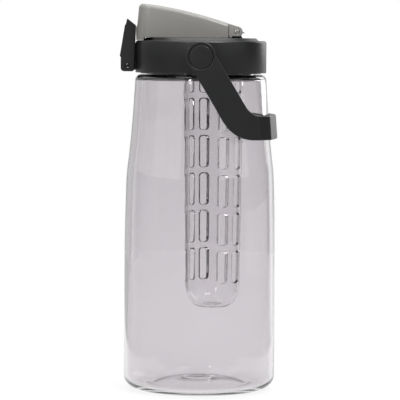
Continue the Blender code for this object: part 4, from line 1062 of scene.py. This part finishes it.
turns = 6.25
coil = curls((HINGE_X, HINGE_Z), 2.7, 1.4 * 6 / turns, turns, 0.0)
tip_y, leg_y, tip_z = coil[0][1], coil[-1][1], HINGE_Z - 0.45
tail = [(HINGE_X + 5.4, tip_y, tip_z), (HINGE_X + 3.4, tip_y, tip_z)]
coil = tail + coil + [(HINGE_X - 8.6, leg_y, HINGE_Z + 2.7)]
place("cap_coil", wire(coil, 0.45), SPRING_WIRE, "lid", "hinge_spring", 50.0)

# %% [markdown]
# ## The latch
#
# A lever that pivots on a pin at its foot. A thumb pushes the pad near its foot, and the nose lets go
# of the ledge on the cap. The lever is hollow behind its face, where the lugs and its spring sit, and
# its front corners are cut off at a slant. It could be carved from a box, but its side is where all
# its sizes are seen, so that outline is drawn and pushed to the lever's width.

# %% Latch lever
LATCH_HALF, LATCH_TALL, NOSE_GAP, HOLLOW_HALF = 9.0, 34.0, 0.4, 6.0
nose_x = FRONT_X - LEDGE_STEP - NOSE_GAP - LATCH_X
outline = rounded(
    [
        (-0.1, LATCH_TALL, 0.25),
        (nose_x, 29.2, 0.5),
        (4.6, -4.0, 1.3),
        (-4.6, -4.0, 2.6),
        (-4.6, 6.3, 0.25),
        (-5.3, 7.0, 0.3),
        (-1.7, 29.2, 0.5),
        (-1.0, 29.9, 0.25),
    ]
)
lever = slab_y(outline, -LATCH_HALF, LATCH_HALF, (LATCH_X, LATCH_Z))
front = []
for edge in filter(along_y, lever.edges):
    if min(face.normal.x for face in edge.link_faces) < -0.8:
        front.append(edge)
soften(lever, front, 1.7, 1)
face_x = LATCH_X - 4.6 + 1.4
roof_z = LATCH_Z + LATCH_TALL - 12.5
channel = [
    (face_x, LATCH_Z - 8.0),
    (-44.05, LATCH_Z - 8.0),
    (-44.05, roof_z),
    (face_x + 3.6 * (roof_z - LATCH_Z) / LATCH_TALL, roof_z),
    (face_x, LATCH_Z + 7.0),
]
lever = joined(
    lever,
    [
        ("DIFFERENCE", slab_y(scaled(channel), -HOLLOW_HALF, HOLLOW_HALF)),
        ("DIFFERENCE", rod_y(LATCH_X, LATCH_Z, LATCH_BORE, -18.0, 18.0)),
    ],
    crisp=0.3,
)
place("latch_arm", lever, CHARCOAL, "latch_lever", "latch", even=True)

# %% [markdown]
# The latch turns on a pin whose near-black colour is painted shade, the dark of the hole its end
# sits in, and a fine spring in its hollow pushes it back to the cap. The spring uses the same coil as
# the cap's, wound the other way, with one leg run out slantwise to the ring.

# %% Latch pin and spring
# Painted shade: the pin's near-black colour paints the dark of the hole in the latch's side, where its
# end sits 1 mm deep.
axle = rod_y(LATCH_X, LATCH_Z, 1.1, -8.0, 8.0, 0.25, 40)
place("latch_axle", axle, HOLE_SHADE_STEEL, "lid", "latch_pin")
turns = 4.125
coil = curls((LATCH_X, LATCH_Z), 2.2, 1.0 * 4 / turns, -turns, 180.0)
foot = (coil[0][0], coil[0][1], LATCH_Z - 1.5)
last = coil[-1]
run = -RING_R - 0.25 - 0.3 - last[0]
coil = [foot] + coil + [(last[0] + run, last[1], last[2] + run)]
place("latch_coil", wire(coil, 0.25), SPRING_WIRE, "lid", "latch_spring", 50.0)

# %% [markdown]
# ## The carry strap
#
# One U-shaped moulding. Each arm runs down from a round eye, bends level in a wide curve, turns the
# corner in a flat facet and meets the other arm in a slightly bowed grip, which leans like the
# bottle's side behind it. A curve with a flat section swept along it would twist at the bends. So
# the strap is made as what two outlines share: its plan from above and its outline from the side.

# %% Strap plan from above
GRIP, GRIP_X, LEAN, ARM_END = 4.2, 51.59, 0.075, -21.6
GRIP_BOW, FACET_RUN, FACET_CUT = 6.0, 8.0, 8.8


def strap_plan(arm, grip):
    """Half of the strap from above: arm, corner facet and bowed grip, round to the middle."""
    corner_x = GRIP_X + GRIP - GRIP_BOW - FACET_RUN
    facet_y = INNER_Y + ARM - FACET_CUT
    start = (corner_x - (ARM - arm) / 3, INNER_Y + arm)
    facet = (GRIP_X + grip - GRIP_BOW, facet_y)
    bow = pulled(facet, (GRIP_X + grip, facet_y * 0.45), (GRIP_X + grip, 0.0), 12)
    return [(ARM_END, start[1]), start, facet] + bow


def flipped(points):
    """The same points on the other side of the X axis."""
    return [(x, -y) for x, y in points]


outside = strap_plan(ARM, GRIP)
inside = strap_plan(0.0, 0.0)
loop = outside + flipped(outside[-2::-1]) + flipped(inside) + inside[-2::-1]
print("points round the plan:", len(loop))

# %% [markdown]
# Seen from the side, the arm is a straight bar at a slant, as wide as the eye allows, and the grip is
# a level one. Two wide arcs join them. The strap is cut from the block that this outline gives.

# %% Strap
LOW_Z, HIGH_Z, SLANT_DEG, ARM_HALF = 182.9, 199.8, -59.2, 9.6
EYE_R, HEAD_BORE, HEAD_DEEP, WIDE, PAST_GRIP, PLAN_Z = 10.8, 8.7, 2.3, 70.0, 62.0, 170.0
slope = math.radians(SLANT_DEG)
along = Vector((math.cos(slope), math.sin(slope)))
across = Vector((-along.y, along.x)) * ARM_HALF
upper, lower = Vector((0.0, PIVOT_Z)) + across, Vector((0.0, PIVOT_Z)) - across
bend_top = upper + along * ((HIGH_Z - upper.y) / along.y)
bend_low = lower + along * ((LOW_Z - lower.y) / along.y)
side_line = rounded(
    [
        (upper.x, upper.y, 0.0),
        (bend_top.x, bend_top.y, 13.7),
        (PAST_GRIP, HIGH_Z, 0.0),
        (PAST_GRIP, LOW_Z, 0.0),
        (bend_low.x, bend_low.y, 24.9),
        (lower.x, lower.y, 0.0),
    ],
    step_deg=3.0,
)
side_block = slab_y(side_line, -WIDE, WIDE)
low_loop = [((x + LEAN * (LOW_Z - PLAN_Z)) * MM, y * MM, PLAN_Z * MM) for x, y in loop]
plan_block = slab(low_loop, (-LEAN * 92.0 * MM, 0.0, 92.0 * MM))
head_y = INNER_Y + HEAD_DEEP
strap = joined(
    side_block,
    [
        ("UNION", rod_y(0.0, PIVOT_Z, EYE_R, -WIDE, WIDE, steps=BIG_ROUND)),
        ("INTERSECT", plan_block),
        ("DIFFERENCE", rod_y(0.0, PIVOT_Z, PIVOT_BORE, -WIDE, WIDE)),
        ("DIFFERENCE", rod_y(0.0, PIVOT_Z, HEAD_BORE, -WIDE, -head_y, steps=MID_ROUND)),
        ("DIFFERENCE", rod_y(0.0, PIVOT_Z, HEAD_BORE, head_y, WIDE, steps=MID_ROUND)),
    ],
    crisp=0.55,
    clamp=False,
)
place("carry_strap", strap, CHARCOAL, "carry_handle", "handle", even=True)

# %% [markdown]
# Each eye turns on a headed stud, with a thin slippery washer behind it. The stud's head lies flush
# in the arm, and only a fine circle shows round it. A mirrored copy would do for the far side, but
# a turned profile needs no mirror: it is spun upright and laid over to its side.

# %% Studs and washers
HEAD_R, HEAD_THICK, STUD_R, STUD_END = 8.4, 1.9, 4.0, 44.35
top_y = INNER_Y + ARM
under_y = top_y - HEAD_THICK
stud_side = [(0.0, top_y, 0.0), (HEAD_R, top_y, 0.6), (HEAD_R, under_y, 0.2)]
stud_side += [(STUD_R, under_y, 0.2), (STUD_R, STUD_END, 0.4), (0.0, STUD_END, 0.0)]
high_y, low_y = INNER_Y - 0.3, INNER_Y - 0.9
washer_side = [(PIVOT_BORE, high_y, 0.15), (HEAD_R, high_y, 0.15)]
washer_side += [(HEAD_R, low_y, 0.15), (PIVOT_BORE, low_y, 0.15)]
pivot = (0.0, 0.0, PIVOT_Z * MM)
for side, name in ((-1, "near"), (1, "far")):
    turn = Matrix.Rotation(-side * math.pi / 2, 4, "X")
    profile = rounded(stud_side, closed=False)
    stud = spun(profile, MID_ROUND, closed=False, at=pivot, turn=turn)
    place(f"pivot_stud_{name}", stud, CHARCOAL, "lid", f"handle_stud_{name}")
    washer = spun(rounded(washer_side), SMALL_ROUND, at=pivot, turn=turn)
    place(f"bearing_washer_{name}", washer, SILICONE, "lid", f"handle_washer_{name}")

# %% [markdown]
# ## Studio
#
# The pitcher is taken with a long lens from a little above, as goods for a shop are. The camera's
# height follows from how open the lid's plate looks, and the long lens keeps the sides upright.

# %% Camera
CAMERA_AT, AIM_AT, ROLL_DEG = (0.0, -1.75, 0.247), (0.0, 0.0, 0.1373), 0.4
camera_data = bpy.data.cameras.new("camera")
camera_data.lens = 217.2
camera_data.sensor_width = 36.0
camera_data.clip_end = 20.0
camera = linked("camera", camera_data)
camera.location = CAMERA_AT
aim = (Vector(AIM_AT) - camera.location).to_track_quat("-Z", "Y")
roll = Matrix.Rotation(math.radians(ROLL_DEG), 3, "Z")
camera.rotation_euler = (aim.to_matrix() @ roll).to_euler()
bpy.context.scene.camera = camera
down = math.degrees(math.atan2(CAMERA_AT[2] - AIM_AT[2], -CAMERA_AT[1]))
print(f"the camera looks down by {down:.1f} degrees")

# %% [markdown]
# Clear plastic shows hardly anything of itself: it shows what stands round it. The pitcher stands on
# white paper in front of a lit white wall. The paper is only a little wider than the picture. What
# the clear walls and the slots bend into view from beside it is grey, and that draws their soft
# edges. One white card behind on the right lights the rims on that side. The wall falls off with
# height, and two lit panels in front show softly in the barrel. A picture of a studio wrapped round
# the scene would be quicker, but sheets can be set one by one.


# %% Matt sheets
def sheet_look(name, shade, glow, far_glow=None, slope=(0.0, 0.0, 0.0, 0.0), seen=False):
    """A matt sheet lit evenly, or fading to far_glow as slope says: over |x|, y, z and a start.

    Seen from behind it is clear, so that it never hides the pitcher. With seen off it shows in
    mirrors and through clear plastic only, and the camera looks past it at the white room.
    """
    look = Look(name)
    where = look.spot()
    fibre = look.noise(where, 90.0, 4.0)
    spot = look.node("ShaderNodeSeparateXYZ", {}, Vector=where)
    x, y, z = (Value(look, spot.outputs[axis]) for axis in "XYZ")
    share = (x.sum("ABSOLUTE") * slope[0] + y * slope[1] + z * slope[2] + slope[3]).clamped()
    there = 1.0 - Value(look, look.node("ShaderNodeNewGeometry", {}).outputs["Backfacing"])
    if not seen:
        direct = look.node("ShaderNodeLightPath", {}).outputs["Is Camera Ray"]
        there = there * (1.0 - Value(look, direct))
    look.set(
        Base_Color=look.blend(fibre, (shade * 0.97,) * 3, (shade,) * 3),
        Roughness=0.75 + fibre * 0.1,
        Emission_Color=look.blend(share, (glow,) * 3, (glow if far_glow is None else far_glow,) * 3),
        Emission_Strength=1.0,
        Alpha=there,
    )
    return look.material


def sheet(name, corners, look):
    mesh = bmesh.new()
    flat_face(mesh, corners)
    for face in mesh.faces:
        face.normal_update()
        if face.normal.dot(Vector((0.0, 0.0, 0.2)) - face.calc_center_median()) < 0.0:
            face.normal_flip()
    data = bpy.data.meshes.new(name)
    mesh.to_mesh(data)
    mesh.free()
    data.materials.append(look)
    linked(name, data)
    print(f"{name}: {data.polygons[0].area:.2f} square metres")


def lying(name, spots, look):
    """A sheet on the floor, from its corners as (x, y)."""
    sheet(name, [(x, y, 0.0) for x, y in spots], look)


def upright(name, start, end, low, high, look):
    """A panel that stands over the line between two spots."""
    sheet(name, [(*start, low), (*end, low), (*end, high), (*start, high)], look)


# %% [markdown]
# The floor, the wall and the panels meet at shared corners, so that no gap shows between them in the
# plastic. The glow of each is how much light it gives, from 0 for black to 1 for white.

# %% Paper, panels and cards
FLOOR_WHITE = sheet_look("white_paper", 0.08, 0.86, 0.905, (0.0, 0.9, 0.0, 0.0), seen=True)
WALL_WHITE = sheet_look("lit_wall", 0.02, 0.99, 0.84, (0.0, 0.0, 5.0, 0.0))
LEFT_GREY = sheet_look("left_grey", 0.05, 0.58)
FLOOR_GREY = sheet_look("floor_grey", 0.05, 0.48)
RIGHT_GREY = sheet_look("right_grey", 0.05, 0.76)
CARD_WHITE = sheet_look("card_white", 0.05, 1.00)
ROOM_GREY = sheet_look("room_grey", 0.05, 0.50, 0.12, (0.55, -0.60, 0.0, -0.14))
FILL_GREY = sheet_look("fill_grey", 0.05, 0.84)
SIDE_GREY = sheet_look("side_grey", 0.05, 0.50)

lying("floor_sheet", [(-0.167, -0.1), (0.167, -0.1), (0.30, 1.2), (-0.30, 1.2)], FLOOR_WHITE)
upright("back_wall", (-0.30, 1.2), (0.30, 1.2), 0.0, 1.0, WALL_WHITE)
upright("left_panel", (-1.04, 0.60), (-0.30, 1.2), 0.0, 1.0, LEFT_GREY)
lying("left_floor", [(-0.198, 0.2), (-0.30, 1.2), (-1.04, 0.60)], FLOOR_GREY)
upright("right_panel", (0.30, 1.2), (0.64, 1.1), 0.0, 1.0, RIGHT_GREY)
lying("right_floor", [(0.198, 0.2), (0.64, 1.1), (0.30, 1.2)], RIGHT_GREY)
upright("right_card", (0.64, 1.1), (0.95, 0.92), 0.0, 0.22, CARD_WHITE)
lying("card_floor", [(0.198, 0.2), (0.95, 0.92), (0.64, 1.1)], CARD_WHITE)
paper_edge = [(0.198, 0.2), (0.167, -0.1), (-0.167, -0.1), (-0.198, 0.2)]
room_edge = [(-1.04, 0.60), (-1.4, 0.3), (-1.4, -1.7), (1.4, -1.7), (1.4, 0.6), (0.95, 0.92)]
lying("room_floor", paper_edge + room_edge, ROOM_GREY)
for side, name in ((-1, "left"), (1, "right")):
    upright(f"fill_front_{name}", (side * 0.65, -1.10), (side * 1.18, -0.20), 0.22, 1.0, FILL_GREY)
upright("fill_side_left", (-1.18, -0.20), (-1.10, 0.50), 0.22, 1.0, SIDE_GREY)
upright("low_side_right", (1.12, -0.35), (1.05, 0.70), 0.0, 0.10, SIDE_GREY)

# %% [markdown]
# Four soft lamps light the dark and the grey parts: a tall strip in front on the left draws a line
# down the barrel, a wide one in front on the right shapes the lid, one hangs above, and a small one
# behind on the right gives the rims their edge. Sun lamps would be simpler, but their shadows are
# hard, and a satin surface shows the form of what lights it.


# %% Lamps
def lamp(name, spot, target, width, height, watts):
    data = bpy.data.lights.new(name, "AREA")
    data.shape = "RECTANGLE"
    data.size = width
    data.size_y = height
    data.energy = watts
    made = linked(name, data)
    made.location = spot
    made.rotation_euler = (Vector(target) - Vector(spot)).to_track_quat("-Z", "Y").to_euler()
    print(f"{name}: {watts} W over {width} by {height} m")


lamp("strip_lamp", (-0.55, -1.55, 0.90), (0.0, 0.0, 0.90), 0.12, 0.8, 7.0)
lamp("front_lamp", (0.80, -1.40, 1.75), (0.0, 0.0, 0.26), 0.9, 0.5, 29.0)
lamp("top_lamp", (0.0, 0.0, 1.3), (0.0, 0.0, 0.0), 1.2, 1.2, 16.0)
lamp("rim_lamp", (0.78, 0.98, 0.62), (0.0, 0.0, 0.62), 0.4, 0.8, 3.2)

# %% [markdown]
# The room behind everything is plain white to the camera, which gives the shop picture its white
# surround, but it is much darker for all other light. One strength for the whole room would either
# grey the surround or wash out the charcoal parts, so it depends on what kind of ray asks.


# %% Room
class Room(Look):
    """The light of the room, made with the same sums."""

    def __init__(self, name):
        world = bpy.data.worlds.new(name)
        world.use_nodes = True
        bpy.context.scene.world = world
        self.tree = world.node_tree
        self.shader = self.tree.nodes["Background"]


DIM, FULL, MIRRORED, THROUGH = 0.06, 0.94, 0.02, 0.30
room = Room("dim_room")
path = room.node("ShaderNodeLightPath", {})
seen, mirrored, through = (
    Value(room, path.outputs[f"Is {kind} Ray"]) for kind in ("Camera", "Glossy", "Transmission")
)
strength = DIM + seen * FULL + mirrored * MIRRORED + through * THROUGH
room.set(Color=(1.0, 1.0, 1.0, 1.0), Strength=strength)
bpy.context.scene.view_settings.view_transform = "Standard"
print("room in mirrors:", DIM + MIRRORED, "and through plastic:", DIM + THROUGH)
